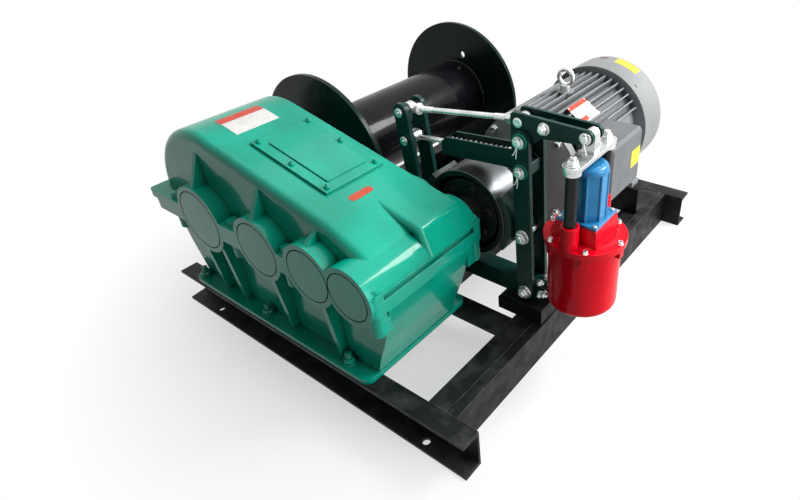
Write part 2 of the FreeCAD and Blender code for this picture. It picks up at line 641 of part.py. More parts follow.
def motor_fan_cover():
    y0 = MOTOR_FRAME_Y1
    shell = cyl_y(IN_X, SHAFT_Z, MOTOR_COVER_R, y0, MOTOR_Y1)
    outer = [e for e in shell.Edges if e.Closed and e.Vertexes[0].Point.y > MOTOR_Y1 - 1.0]
    shell = shell.makeFillet(22.0, outer)
    hollow = cyl_y(IN_X, SHAFT_Z, MOTOR_COVER_R - COWL_T, y0 - 1.0, MOTOR_Y1 - 24.0)
    cover = shell.cut(hollow)
    slots = []
    for k in range(5):
        r = 34.0 + 22.0 * k
        ring = cyl_y(IN_X, SHAFT_Z, r + 4.5, MOTOR_Y1 - 40.0, MOTOR_Y1 + 1.0)
        ring = ring.cut(cyl_y(IN_X, SHAFT_Z, r - 4.5, MOTOR_Y1 - 41.0, MOTOR_Y1 + 2.0))
        slots.append(ring)
    bars = [box(IN_X - 160, IN_X + 160, MOTOR_Y1 - 42.0, MOTOR_Y1 + 3.0, SHAFT_Z - 5.0, SHAFT_Z + 5.0)]
    bar2 = bars[0].copy()
    bar2.rotate(V(IN_X, 0, SHAFT_Z), V(0, 1, 0), 60.0)
    bar3 = bars[0].copy()
    bar3.rotate(V(IN_X, 0, SHAFT_Z), V(0, 1, 0), 120.0)
    for s in slots:
        for b in (bars[0], bar2, bar3):
            s = s.cut(b)
        cover = cover.cut(s)
    return cover


def motor_terminal_box():
    y0, y1 = MOTOR_Y0 + 44.0, MOTOR_Y0 + 214.0
    x0, x1 = IN_X + MOTOR_R - 32.0, IN_X + MOTOR_R + 66.0
    body = box(x0, x1, y0, y1, SHAFT_Z - 60.0, SHAFT_Z + 92.0)
    along = [e for e in body.Edges if abs(e.Vertexes[0].Point.x - e.Vertexes[1].Point.x) > 50.0]
    body = body.makeFillet(16.0, along)
    lid = [e for e in body.Edges if all(abs(v.Point.x - x1) < 0.1 for v in e.Vertexes)]
    return body.makeChamfer(7.0, lid)


def motor_eyebolt():
    y = EYEBOLT_Y
    z = SHAFT_Z + MOTOR_R
    post = cyl_z(IN_X, y, 14.0, z, z + 16.0)
    ring = Part.makeTorus(20.0, 6.0, V(IN_X, y, z + 36.0), V(0, 1, 0))
    return fuse([post, ring])


# ---------------------------------------------------------------- brake
WHEEL_RECESS = 34.0
SHAFT_R = 21.0


def brake_wheel():
    y0, y1 = WHEEL_Y0, WHEEL_Y0 + WHEEL_W
    rim = cyl_y(IN_X, SHAFT_Z, WHEEL_R, y0, y1)
    rim = rim.cut(cyl_y(IN_X, SHAFT_Z, WHEEL_R - 12.0, y0 - 1.0, y0 + WHEEL_RECESS))
    rim = rim.cut(cyl_y(IN_X, SHAFT_Z, WHEEL_R - 12.0, y0 + WHEEL_RECESS + 14.0, y1 + 1.0))
    hub = cyl_y(IN_X, SHAFT_Z, 40.0, y0 + WHEEL_RECESS, y1 + 34.0)
    return fuse([rim, hub]).cut(cyl_y(IN_X, SHAFT_Z, SHAFT_R, y0, y1 + 35.0))


def input_shaft():
    # gearbox shaft, half coupling inside the wheel's recess, and the motor shaft behind the wheel
    y0 = WHEEL_Y0
    parts = [cyl_y(IN_X, SHAFT_Z, SHAFT_R, CASE_Y1 + 0.5, MOTOR_FRAME_Y0 - 34.0)]
    parts.append(cyl_y(IN_X, SHAFT_Z, 36.0, CASE_Y1 + 8.0, y0 + 10.0))
    parts.append(cyl_y(IN_X, SHAFT_Z, 80.0, y0 + 8.0, y0 + WHEEL_RECESS - 6.0))
    for k in range(6):
        a = math.radians(60.0 * k + 15.0)
        x, z = IN_X + 60.0 * math.cos(a), SHAFT_Z + 60.0 * math.sin(a)
        parts.append(cyl_y(x, z, 9.0, y0 + 2.0, y0 + WHEEL_RECESS))
    return fuse(parts)


BRAKE_BAR_Z0 = 145.0
BRAKE_BAR_Z1 = 195.0
BAR_Y0 = ARM_Y0 + ARM_T + 2.0
BAR_Y1 = ARM_Y0 + ARM_SPAN - ARM_T - 2.0
LEFT_PIVOT = (IN_X - PIVOT_DX, PIVOT_Z)
RIGHT_PIVOT = (IN_X + PIVOT_DX, PIVOT_Z)
LEFT_TOP = (50.0, 543.0)
LEFT_SPRING = (56.0, 475.0)
LEFT_SHOE = (71.0, 322.0)
RIGHT_TOP = (378.0, 548.0)
RIGHT_SPRING = (380.0, 481.0)
RIGHT_SHOE = (383.0, 322.0)
LEVER_TIE = (366.0, 582.0)
LEVER_BOLT = (427.0, 582.0)
LEVER_END = (THRUSTER_X, 583.0)
LEVER_Y0 = ARM_Y0 + ARM_T + 1.0
LEVER_T = 8.0
LEVER_Y1 = ARM_Y0 + ARM_SPAN - ARM_T - 1.0
PIN_R = 8.0
LEVER_BOLT_R = 6.0
SHOE_GAP = 0.4
LINING = 8.0
SHOE_T = 7.0


def brake_block(x_mid, mirror):
    # welded packing block under the brake base, chamfered on its inner end
    s = -1.0 if mirror else 1.0
    pts = [
        (x_mid - s * 61.0, RAIL_H),
        (x_mid - s * 61.0, RAIL_H + 33.0),
        (x_mid - s * 49.0, BRAKE_BAR_Z0),
        (x_mid + s * 61.0, BRAKE_BAR_Z0),
        (x_mid + s * 61.0, RAIL_H),
    ]
    return prism_y(pts, ARM_Y0 - 12.0, ARM_Y0 + ARM_SPAN + 6.0)


def brake_base():
    bar = box(LEFT_PIVOT[0] - 34.0, RIGHT_PIVOT[0] + 34.0, BAR_Y0, BAR_Y1, BRAKE_BAR_Z0, BRAKE_BAR_Z1)
    slot_x0, slot_x1 = LEFT_PIVOT[0] + 40.0, RIGHT_PIVOT[0] - 40.0
    slot = box(slot_x0, slot_x1, BAR_Y0 + 6.0, BAR_Y1 - 6.0, BRAKE_BAR_Z0 - 1, BRAKE_BAR_Z1 - 6)
    bar = bar.cut(slot)
    parts = [bar]
    mid = (BAR_Y0 + BAR_Y1) / 2.0
    for y in (mid - 17.0, mid + 9.0):
        x0, x1 = RIGHT_PIVOT[0] + 30.0, THRUSTER_X + 18.0
        parts.append(box(x0, x1, y, y + 8.0, THR_PIN_Z - 16.0, THR_PIN_Z + 8.0))
    base = fuse(parts)
    for p in (LEFT_PIVOT, RIGHT_PIVOT):
        base = base.cut(cyl_y(p[0], p[1], PIN_R + RUN_FIT, BAR_Y0 - 1, BAR_Y1 + 1))
    return fuse([base, pin((THRUSTER_X, THR_PIN_Z), THR_PIN_R, ARM_MID - 24.0, ARM_MID + 24.0, 9.0)])


def arm_plates(points):
    near = []
    for y in (ARM_Y0, ARM_Y0 + ARM_SPAN - ARM_T):
        near.append(link_plate(points[0], points[1], ARM_W, y, y + ARM_T))
    return near


def pin(p, r, y0, y1, head):
    x, z = p
    parts = [cyl_y(x, z, r, y0, y1), cyl_y(x, z, head, y0, y0 + 4.0), cyl_y(x, z, head, y1 - 4.0, y1)]
    return fuse(parts)


def shoe(side):
    # side -1 left, +1 right: lining, shoe plate and lug back to the arm pin
    centre = LEFT_SHOE if side < 0 else RIGHT_SHOE
    r0 = WHEEL_R + SHOE_GAP
    r1 = r0 + LINING
    r2 = r1 + SHOE_T
    y0, y1 = WHEEL_Y0 + 4.0, WHEEL_Y0 + WHEEL_W - 4.0
    wedge_r = 200.0
    a = math.radians(36.0)
    wedge = [
        (IN_X, SHAFT_Z),
        (IN_X + side * wedge_r * math.cos(a), SHAFT_Z + wedge_r * math.sin(a)),
        (IN_X + side * wedge_r * math.cos(a), SHAFT_Z - wedge_r * math.sin(a)),
    ]
    ring = cyl_y(IN_X, SHAFT_Z, r2, y0, y1).cut(cyl_y(IN_X, SHAFT_Z, r0, y0 - 1, y1 + 1))
    pad = ring.common(prism_y(wedge, y0, y1))
    lug = prism_y(
        [
            (IN_X + side * (r1 + 2.0) * math.cos(a * 0.8), SHAFT_Z + r1 * math.sin(a * 0.8)),
            (centre[0] + side * 2.0, centre[1] + 18.0),
            (centre[0] + side * 2.0, centre[1] - 18.0),
            (IN_X + side * (r1 + 2.0) * math.cos(a * 0.8), SHAFT_Z - r1 * math.sin(a * 0.8)),
        ],
        ARM_Y0 + ARM_T + 4.0,
        ARM_Y0 + ARM_SPAN - ARM_T - 4.0,
    )
    lug = lug.cut(cyl_y(IN_X, SHAFT_Z, r1, y0 - 1, y1 + 1))
    return fuse([pad, lug]).cut(cyl_y(centre[0], centre[1], PIN_R, y0, y1))


def left_arm_pins():
    y0, y1 = ARM_Y0 - 6.0, ARM_Y0 + ARM_SPAN + 6.0
    places = (LEFT_PIVOT, LEFT_SHOE, LEFT_SPRING, LEFT_TOP)
    return Part.makeCompound([pin(p, PIN_R, y0, y1, 11.0) for p in places])


def right_arm_pins():
    y0, y1 = ARM_Y0 - 8.0, ARM_Y0 + ARM_SPAN + 8.0
    places = (RIGHT_PIVOT, RIGHT_SHOE, RIGHT_SPRING, RIGHT_TOP)
    return Part.makeCompound([pin(p, PIN_R, y0, y1, 13.0) for p in places])


ROD_SLOPE = 0.08
SPRING_BOX_WALL = 4.0
SPRING_BOX_IN = ARM_SPAN - 2.0 * ARM_T - 6.0 - 2.0 * SPRING_BOX_WALL
BOX_X0 = 158.0
BOX_X1 = 352.0


def rod_z(x):
    return LEFT_SPRING[1] + (x - LEFT_SPRING[0]) * ROD_SLOPE


def on_rod_line(x0, x1, r):
    # round bar along the spring rod's line between two X values
    return rod_xz((x0, rod_z(x0)), (x1, rod_z(x1)), r, ARM_MID)


def spring_box():
    y0, y1 = BAR_Y0 + 1.0, BAR_Y1 - 1.0
    z0, z1 = rod_z(BOX_X0), rod_z(BOX_X1)
    side = [
        (BOX_X0, z0 - 22.0),
        (BOX_X1, z1 - 22.0),
        (RIGHT_SPRING[0] - 6.0, RIGHT_SPRING[1] - 18.0),
        (RIGHT_SPRING[0] + 14.0, RIGHT_SPRING[1] - 10.0),
        (RIGHT_SPRING[0] + 14.0, RIGHT_SPRING[1] + 14.0),
        (BOX_X1 + 6.0, z1 + 21.0),
        (BOX_X0 + 14.0, z0 + 22.0),
        (BOX_X0, z0 + 10.0),
    ]
    outer = prism_y(side, y0, y1)
    inner_pts = [
        (BOX_X0 + 6.0, z0 - 17.0),
        (BOX_X1 + 40.0, z1 - 15.0),
        (BOX_X1 + 40.0, z1 + 60.0),
        (BOX_X0 + 6.0, z0 + 60.0),
    ]
    shell = outer.cut(prism_y(inner_pts, y0 + SPRING_BOX_WALL, y1 - SPRING_BOX_WALL))
    shell = shell.cut(on_rod_line(LEFT_SPRING[0] + 40.0, BOX_X0 + 30.0, 8.5))
    stop = cyl_y(RIGHT_SPRING[0], RIGHT_SPRING[1], PIN_R + 5.0, y0, y1)
    return fuse([shell, stop]).cut(cyl_y(RIGHT_SPRING[0], RIGHT_SPRING[1], PIN_R + RUN_FIT, y0 - 1, y1 + 1))


SPRING_X1 = 330.0
PLATE_R = SPRING_BOX_IN / 2.0 - 1.5


def spring_rod():
    a = LEFT_SPRING
    b = (SPRING_X1 + 16.0, rod_z(SPRING_X1 + 16.0))
    rod = rod_xz(a, b, 5.5, ARM_MID)
    eye = cyl_y(a[0], a[1], 15.0, ARM_MID - 12.0, ARM_MID + 12.0)
    plate = on_rod_line(SPRING_X1, SPRING_X1 + 5.0, PLATE_R)
    nut = on_rod_line(SPRING_X1 + 4.0, SPRING_X1 + 12.0, 9.0)
    return fuse([rod, eye, plate, nut]).cut(cyl_y(a[0], a[1], PIN_R + RUN_FIT, ARM_MID - 20, ARM_MID + 20))


WIRE_R = 2.2
COILS = 12
COIL_R = SPRING_BOX_IN / 2.0 - WIRE_R - 2.3


def brake_spring():
    # stands on the rod between the box's end wall and the rod's end plate
    start = BOX_X0 + 8.5
    length = (SPRING_X1 - start - 1.0) / math.cos(math.atan(ROD_SLOPE)) - 2 * WIRE_R
    pitch = length / COILS
    helix = Part.makeHelix(pitch, length, COIL_R)
    section = Part.Wire([Part.makeCircle(WIRE_R, V(COIL_R, 0, 0), V(0, 1, 0))])
    coil = Part.Wire(helix).makePipeShell([section], True, True)
    rot = FreeCAD.Rotation(V(0, 0, 1), V(math.cos(math.atan(ROD_SLOPE)), 0, math.sin(math.atan(ROD_SLOPE))))
    coil.Placement = FreeCAD.Placement(V(start + WIRE_R, ARM_MID, rod_z(start + WIRE_R)), rot)
    return coil


def tie_rod():
    rod = rod_xz(LEFT_TOP, LEVER_TIE, 6.0, ARM_MID)
    parts = [rod]
    for p in (LEFT_TOP, LEVER_TIE):
        parts.append(cyl_y(p[0], p[1], 15.0, ARM_MID - 9.0, ARM_MID + 9.0))
    d = V(LEVER_TIE[0] - LEFT_TOP[0], 0, LEVER_TIE[1] - LEFT_TOP[1]).normalize()
    for s in (26.0, (V(LEVER_TIE[0] - LEFT_TOP[0], 0, LEVER_TIE[1] - LEFT_TOP[1])).Length - 38.0):
        base = V(LEFT_TOP[0], ARM_MID, LEFT_TOP[1]) + d * s
        parts.append(Part.makeCylinder(10.0, 12.0, base, d))
    body = fuse(parts)
    body = body.cut(cyl_y(LEFT_TOP[0], LEFT_TOP[1], PIN_R + OPEN_FIT, ARM_MID - 20, ARM_MID + 20))
    return body.cut(cyl_y(LEVER_TIE[0], LEVER_TIE[1], PIN_R + RUN_FIT, ARM_MID - 20, ARM_MID + 20))


def lever_plates():
    out = []
    pts = [
        (LEVER_TIE[0] - 17.0, LEVER_TIE[1] + 16.0),
        (LEVER_TIE[0] - 12.0, LEVER_TIE[1] + 20.0),
        (LEVER_TIE[0] + 4.0, LEVER_TIE[1] + 20.0),
        (LEVER_END[0], LEVER_END[1] + 15.0),
        (LEVER_END[0], LEVER_END[1] - 15.0),
        (LEVER_TIE[0] + 54.0, LEVER_TIE[1] - 22.0),
        (RIGHT_TOP[0] + 22.0, RIGHT_TOP[1] - 6.0),
        (RIGHT_TOP[0] + 10.0, RIGHT_TOP[1] - 18.0),
        (RIGHT_TOP[0] - 14.0, RIGHT_TOP[1] - 18.0),
        (LEVER_TIE[0] - 17.0, RIGHT_TOP[1] - 4.0),
    ]
    for y in (LEVER_Y0, LEVER_Y1 - LEVER_T):
        plate = fuse([prism_y(pts, y, y + LEVER_T), cyl_y(LEVER_END[0], LEVER_END[1], 15.0, y, y + LEVER_T)])
        plate = plate.cut(cyl_y(RIGHT_TOP[0], RIGHT_TOP[1], PIN_R + RUN_FIT, y - 1, y + LEVER_T + 1))
        out.append(plate)
    out.append(cyl_y(LEVER_BOLT[0], LEVER_BOLT[1], 10.0, LEVER_Y0 + 1.0, LEVER_Y1 - 1.0))
    plates = fuse(out)
    for p, r in ((LEVER_TIE, PIN_R), (LEVER_END, PIN_R), (LEVER_BOLT, LEVER_BOLT_R)):
        plates = plates.cut(cyl_y(p[0], p[1], r, LEVER_Y0 - 1.0, LEVER_Y1 + 1.0))
    return plates


def lever_pins():
    y0, y1 = LEVER_Y0 - 0.0, LEVER_Y1 + 0.0
    parts = [cyl_y(LEVER_TIE[0], LEVER_TIE[1], PIN_R, y0, y1)]
    parts.append(pin(LEVER_END, PIN_R, LEVER_Y0 - 4.0, LEVER_Y1 + 4.0, 12.0))
    parts.append(pin(LEVER_BOLT, LEVER_BOLT_R, LEVER_Y0 - 4.0, LEVER_Y1 + 4.0, 10.0))
    return Part.makeCompound(parts)


# ---------------------------------------------------------------- thruster
THR_FLANGE_R = 87.0
THR_FLANGE_T = 7.0
THR_BOLT_N = 6
THR_BOLT_TURN = -2.0      # degrees from +X to the first flange bolt
SOCKET_Z = 417.0
SOCKET_R = 19.0
ROD_R = 12.5
ROD_FIT = 0.1
CROSS_Z0 = 540.0
CROSS_Z1 = 549.0
BLUE_Z0 = 405.0
BLUE_Z1 = 527.0
BLUE_HALF = 45.0          # half of the square motor foot
BLUE_R = 38.0
BLUE_CAP_H = 16.0
DOME_H = 4.0
COLLAR_R = 18.0
COLLAR_H = 9.0


def thruster_tank():
    tank = cyl_z(THRUSTER_X, ARM_MID, TANK_R, TANK_Z0, TANK_Z1)
    low = [e for e in tank.Edges if e.Closed and e.Vertexes[0].Point.z < TANK_Z0 + 1.0]
    tank = tank.makeFillet(14.0, low)
    lip = cyl_z(THRUSTER_X, ARM_MID, THR_FLANGE_R, TANK_Z1 - THR_FLANGE_T + 1.0, TANK_Z1)
    lug = box(THRUSTER_X - 13.0, THRUSTER_X + 13.0, ARM_MID - 8.0, ARM_MID + 8.0, THR_PIN_Z, TANK_Z0 + 2.0)
    eye = cyl_y(THRUSTER_X, THR_PIN_Z, 13.0, ARM_MID - 8.0, ARM_MID + 8.0)
    parts = [tank, lip, lug, eye]
    for k in range(THR_BOLT_N):
        # small boss under the lip at each flange bolt
        x0, x1 = THRUSTER_X + TANK_R - 3.0, THRUSTER_X + THR_FLANGE_R - 2.0
        boss = box(x0, x1, ARM_MID - 8.0, ARM_MID + 8.0, TANK_Z1 - 24.0, TANK_Z1 - THR_FLANGE_T + 2.0)
        boss.rotate(V(THRUSTER_X, ARM_MID, 0), V(0, 0, 1), THR_BOLT_TURN + 360.0 * k / THR_BOLT_N)
        parts.append(boss)
    return fuse(parts).cut(cyl_y(THRUSTER_X, THR_PIN_Z, THR_PIN_R + RUN_FIT, ARM_MID - 20, ARM_MID + 20))


def regular_wire(n, r, turn, z):
    # regular polygon about the thruster axis
    pts = []
    for k in range(n + 1):
        a = math.radians(turn + 360.0 * k / n)
        pts.append(V(THRUSTER_X + r * math.cos(a), ARM_MID + r * math.sin(a), z))
    return Part.makePolygon(pts)


def thruster_cover():
    flange = cyl_z(THRUSTER_X, ARM_MID, THR_FLANGE_R, TANK_Z1, TANK_Z1 + THR_FLANGE_T)
    dome_z = TANK_Z1 + THR_FLANGE_T - 1.0
    dome = Part.makeCone(TANK_R - 2.0, TANK_R - 12.0, DOME_H, V(THRUSTER_X, ARM_MID, dome_z), V(0, 0, 1))
    foot_r = (BLUE_HALF + 6.0) * math.sqrt(2.0)
    neck_r = (BLUE_HALF + 1.0) * math.sqrt(2.0)
    squares = [regular_wire(4, foot_r, 45.0, dome_z + DOME_H - 1.0), regular_wire(4, neck_r, 45.0, BLUE_Z0)]
    parts = [flange, dome, Part.makeLoft(squares, True)]
    for s in (-1, 1):
        y = ARM_MID + s * ROD_DY
        parts.append(cyl_z(THRUSTER_X, y, SOCKET_R, TANK_Z1 + 5.0, SOCKET_Z))
        y0, y1 = sorted((ARM_MID, y))
        parts.append(box(THRUSTER_X - 9.0, THRUSTER_X + 9.0, y0, y1, dome_z, BLUE_Z0 - 1.0))
    cover = fuse(parts)
    for s in (-1, 1):
        y = ARM_MID + s * ROD_DY
        cover = cover.cut(cyl_z(THRUSTER_X, y, ROD_R + ROD_FIT, TANK_Z1 + 2.0, SOCKET_Z + 1.0))
    return cover


def thruster_motor():
    x, y = THRUSTER_X, ARM_MID
    base = box(x - BLUE_HALF, x + BLUE_HALF, y - BLUE_HALF, y + BLUE_HALF, BLUE_Z0, BLUE_Z0 + 7.0)
    body_h = BLUE_Z1 - BLUE_CAP_H - BLUE_Z0 - 6.0
    octagon = Part.Face(regular_wire(8, BLUE_R, 22.5, BLUE_Z0 + 6.0)).extrude(V(0, 0, body_h))
    cap = cyl_z(x, y, BLUE_R, BLUE_Z1 - BLUE_CAP_H - 1.0, BLUE_Z1)
    top = [e for e in cap.Edges if e.Closed and e.Vertexes[0].Point.z > BLUE_Z1 - 1.0]
    parts = [base, octagon, cap.makeFillet(BLUE_CAP_H * 0.7, top)]
    for k in range(8):
        # rounded rib on each corner of the housing
        a = math.radians(45.0 * k + 22.5)
        rx, ry = x + (BLUE_R - 1.0) * math.cos(a), y + (BLUE_R - 1.0) * math.sin(a)
        parts.append(cyl_z(rx, ry, 3.0, BLUE_Z0 + 6.0, BLUE_Z1 - BLUE_CAP_H + 2.0))
    return fuse(parts)


def thruster_rods():
    parts = []
    for s in (-1, 1):
        parts.append(cyl_z(THRUSTER_X, ARM_MID + s * ROD_DY, ROD_R, TANK_Z1 + 4.0, CROSS_Z0))
    return Part.makeCompound(parts)


def crosshead():
    x0, x1 = THRUSTER_X - COLLAR_R - 1.0, THRUSTER_X + COLLAR_R + 1.0
    y0, y1 = ARM_MID - ROD_DY - COLLAR_R, ARM_MID + ROD_DY + COLLAR_R
    bar = rounded_plate(x0, x1, y0, y1, CROSS_Z0, CROSS_Z1, COLLAR_R - 2.0)
    lug_z = LEVER_END[1]
    lug = box(THRUSTER_X - 13, THRUSTER_X + 13, ARM_MID - 10, ARM_MID + 10, CROSS_Z1 - 1, lug_z)
    eye = cyl_y(THRUSTER_X, lug_z, 13.0, ARM_MID - 10, ARM_MID + 10)
    parts = [bar, lug, eye]
    for s in (-1, 1):
        parts.append(hex_z(THRUSTER_X, ARM_MID + s * ROD_DY, 19.0, CROSS_Z1 - 1, CROSS_Z1 + 9.0))
        parts.append(cyl_z(THRUSTER_X, ARM_MID + s * ROD_DY, COLLAR_R, CROSS_Z0 - COLLAR_H, CROSS_Z0 + 1.0))
    body = fuse(parts)
    for s in (-1, 1):
        body = body.cut(cyl_z(THRUSTER_X, ARM_MID + s * ROD_DY, ROD_R, CROSS_Z0 - COLLAR_H - 1.0, CROSS_Z0))
    return body.cut(cyl_y(THRUSTER_X, lug_z, PIN_R + OPEN_FIT, ARM_MID - 20, ARM_MID + 20))


def left_arm():
    plates = Part.makeCompound(arm_plates((LEFT_TOP, LEFT_PIVOT)))
    for p in (LEFT_PIVOT, LEFT_SHOE, LEFT_SPRING, LEFT_TOP):
        plates = plates.cut(cyl_y(p[0], p[1], PIN_R, ARM_Y0 - 1, ARM_Y0 + ARM_SPAN + 1))
    return plates


def right_arm():
    plates = Part.makeCompound(arm_plates((RIGHT_TOP, RIGHT_PIVOT)))
    for p in (RIGHT_PIVOT, RIGHT_SHOE, RIGHT_SPRING, RIGHT_TOP):
        plates = plates.cut(cyl_y(p[0], p[1], PIN_R, ARM_Y0 - 1, ARM_Y0 + ARM_SPAN + 1))
    return plates


def main():
    save("front_rail", front_rail())
    save("rear_rail", rear_rail())
    save("right_rail", long_rail(RIGHT_RAIL_X, 1, LONG_Y0))
    save("right_rail_closing_channel", rail_closing_channel())
    save("middle_rail", long_rail(MID_RAIL_X + RAIL_B, -1, GEAR_BAR_Y1))
    save("left_rail", long_rail(LEFT_RAIL_X, 1, LONG_Y0))
    save("crossbars", Part.makeCompound([gearbox_crossbar(), pedestal_crossbar()]))
    save("motor_beds", motor_beds())
    save("gearbox_lower_case", lower_case())
    save("gearbox_upper_case", upper_case())
    save("gearbox_bearing_covers", bearing_covers())
    save("inspection_cover", inspection_cover())
    save("drum_barrel", drum_barrel())
    save("drum_near_flange", drum_flange(DRUM_Y0))
    save("drum_far_flange", drum_far_flange())
    save("output_coupling", output_coupling())
    save("drum_shaft", drum_shaft())
    save("drum_pedestal", drum_pedestal())
    save("motor_frame", motor_frame())
    save("motor_feet", motor_feet())
    save("motor_end_shield", motor_end_shield())
    save("motor_fan_cover", motor_fan_cover())
    save("motor_terminal_box", motor_terminal_box())
    save("motor_eyebolt", motor_eyebolt())
    save("brake_wheel", brake_wheel())
    save("input_shaft", input_shaft())
    save("brake_base", brake_base())
    blocks = [brake_block(LEFT_PIVOT[0] + 8.0, True), brake_block(RIGHT_PIVOT[0] - 8.0, False)]
    save("brake_blocks", Part.makeCompound(blocks))
    save("left_arm_plates", left_arm())
    save("left_shoe", shoe(-1))
    save("left_arm_pins", left_arm_pins())
    save("right_arm_plates", right_arm())
    save("right_shoe", shoe(1))
    save("right_arm_pins", right_arm_pins())
    save("spring_box", spring_box())
    save("spring_rod", spring_rod())
    save("brake_spring", brake_spring())
    save("tie_rod", tie_rod())
    save("lever_plates", lever_plates())
    save("lever_pins", lever_pins())
    save("thruster_tank", thruster_tank())
    save("thruster_cover", thruster_cover())
    save("thruster_motor", thruster_motor())
    save("thruster_rods", thruster_rods())
    save("crosshead", crosshead())


main()
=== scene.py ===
import json
import math
import random

import bmesh
import bpy
from mathutils import Matrix, Vector
from mathutils.bvhtree import BVHTree


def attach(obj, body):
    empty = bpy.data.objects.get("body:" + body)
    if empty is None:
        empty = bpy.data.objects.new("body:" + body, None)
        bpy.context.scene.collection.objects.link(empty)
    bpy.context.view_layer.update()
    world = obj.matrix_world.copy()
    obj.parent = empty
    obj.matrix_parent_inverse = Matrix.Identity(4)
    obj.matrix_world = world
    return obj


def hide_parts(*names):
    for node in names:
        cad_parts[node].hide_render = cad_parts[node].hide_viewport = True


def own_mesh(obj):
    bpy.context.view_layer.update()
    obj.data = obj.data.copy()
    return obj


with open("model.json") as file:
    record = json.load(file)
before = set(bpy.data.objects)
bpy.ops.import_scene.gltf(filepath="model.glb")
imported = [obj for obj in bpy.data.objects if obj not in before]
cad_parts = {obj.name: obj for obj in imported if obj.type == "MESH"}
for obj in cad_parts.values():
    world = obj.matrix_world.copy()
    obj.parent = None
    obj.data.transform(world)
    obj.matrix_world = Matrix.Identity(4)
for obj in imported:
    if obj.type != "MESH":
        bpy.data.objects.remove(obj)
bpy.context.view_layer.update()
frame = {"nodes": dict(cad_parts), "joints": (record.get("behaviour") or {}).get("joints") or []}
NODES = frame["nodes"]
RNG = random.Random(7)
MM = 1000.0

# ---------------------------------------------------------------- places
# millimetres in the winch's own frame; a pair is the X and Z of an axis along Y
JOINTS = {joint["name"]: [round(v * MM, 2) for v in joint.get("pos_m", ())] for joint in frame["joints"]}


def axis_of(joint):
    x, _, z = JOINTS[joint]
    return x, z


def span(node, axis):
    """A CAD node's lowest and highest place along an axis."""
    values = [v.co[axis] * MM for v in NODES[node].data.vertices]
    return round(min(values), 2), round(max(values), 2)


def faces_of(node):
    """The node's two outer faces across the winch: the Y of each, and the way that it looks."""
    low, high = span(node, 1)
    return (low, -1.0), (high, 1.0)


INPUT_AXIS = axis_of("input_spin")
DRUM_AXIS = axis_of("drum_spin")
THRUSTER_X = JOINTS["thruster_swing"][0]
# the middle plane of the brake and the thruster
BRAKE_Y = JOINTS["input_spin"][1]
ARM_FACES = faces_of("right_arm_plates")
RIGHT_TOP = axis_of("lever_pivot")
RIGHT_SPRING = axis_of("spring_box_pivot")
RIGHT_SHOE_PIN = (383.0, 322.0)
RIGHT_PIVOT = axis_of("right_arm_pivot")
LEFT_TOP = (50.0, 543.0)
LEFT_SPRING = axis_of("spring_rod_pivot")
LEFT_SHOE_PIN = (71.0, 322.0)
LEFT_PIVOT = axis_of("left_arm_pivot")
LEVER_TIE = axis_of("tie_rod_pivot")
LEVER_BOLT = (427.0, 582.0)
LEVER_END = (THRUSTER_X, 583.0)


# ---------------------------------------------------------------- camera
# the camera stands above the front right corner of the winch
CAM_AZ = 38.7
CAM_EL = 33.6
CAM_ROLL = 3.2
CAM_POS = (0.9675, -1.0742, 1.0356)
CAM_LENS = 26.04
CAM_SHIFT = (-0.0994, -0.0203)


def make_camera():
    data = bpy.data.cameras.new("camera")
    data.lens = CAM_LENS
    data.sensor_width = 36.0
    data.shift_x, data.shift_y = CAM_SHIFT
    data.clip_start = 0.05
    data.clip_end = 60.0
    cam = bpy.data.objects.new("camera", data)
    bpy.context.scene.collection.objects.link(cam)
    az, el, roll = (math.radians(a) for a in (CAM_AZ, CAM_EL, CAM_ROLL))
    forward = Vector((-math.sin(az) * math.cos(el), math.cos(az) * math.cos(el), -math.sin(el)))
    right = Vector((math.cos(az), math.sin(az), 0.0))
    up = right.cross(forward)
    turned_right = right * math.cos(roll) - up * math.sin(roll)
    turned_up = right * math.sin(roll) + up * math.cos(roll)
    basis = Matrix((turned_right, turned_up, -forward)).transposed()
    cam.matrix_world = Matrix.Translation(Vector(CAM_POS)) @ basis.to_4x4()
    bpy.context.scene.camera = cam


# ---------------------------------------------------------------- materials
def srgb(r, g, b):
    out = []
    for c in (r / 255.0, g / 255.0, b / 255.0):
        out.append(c / 12.92 if c <= 0.04045 else ((c + 0.055) / 1.055) ** 2.4)
    return (out[0], out[1], out[2], 1.0)


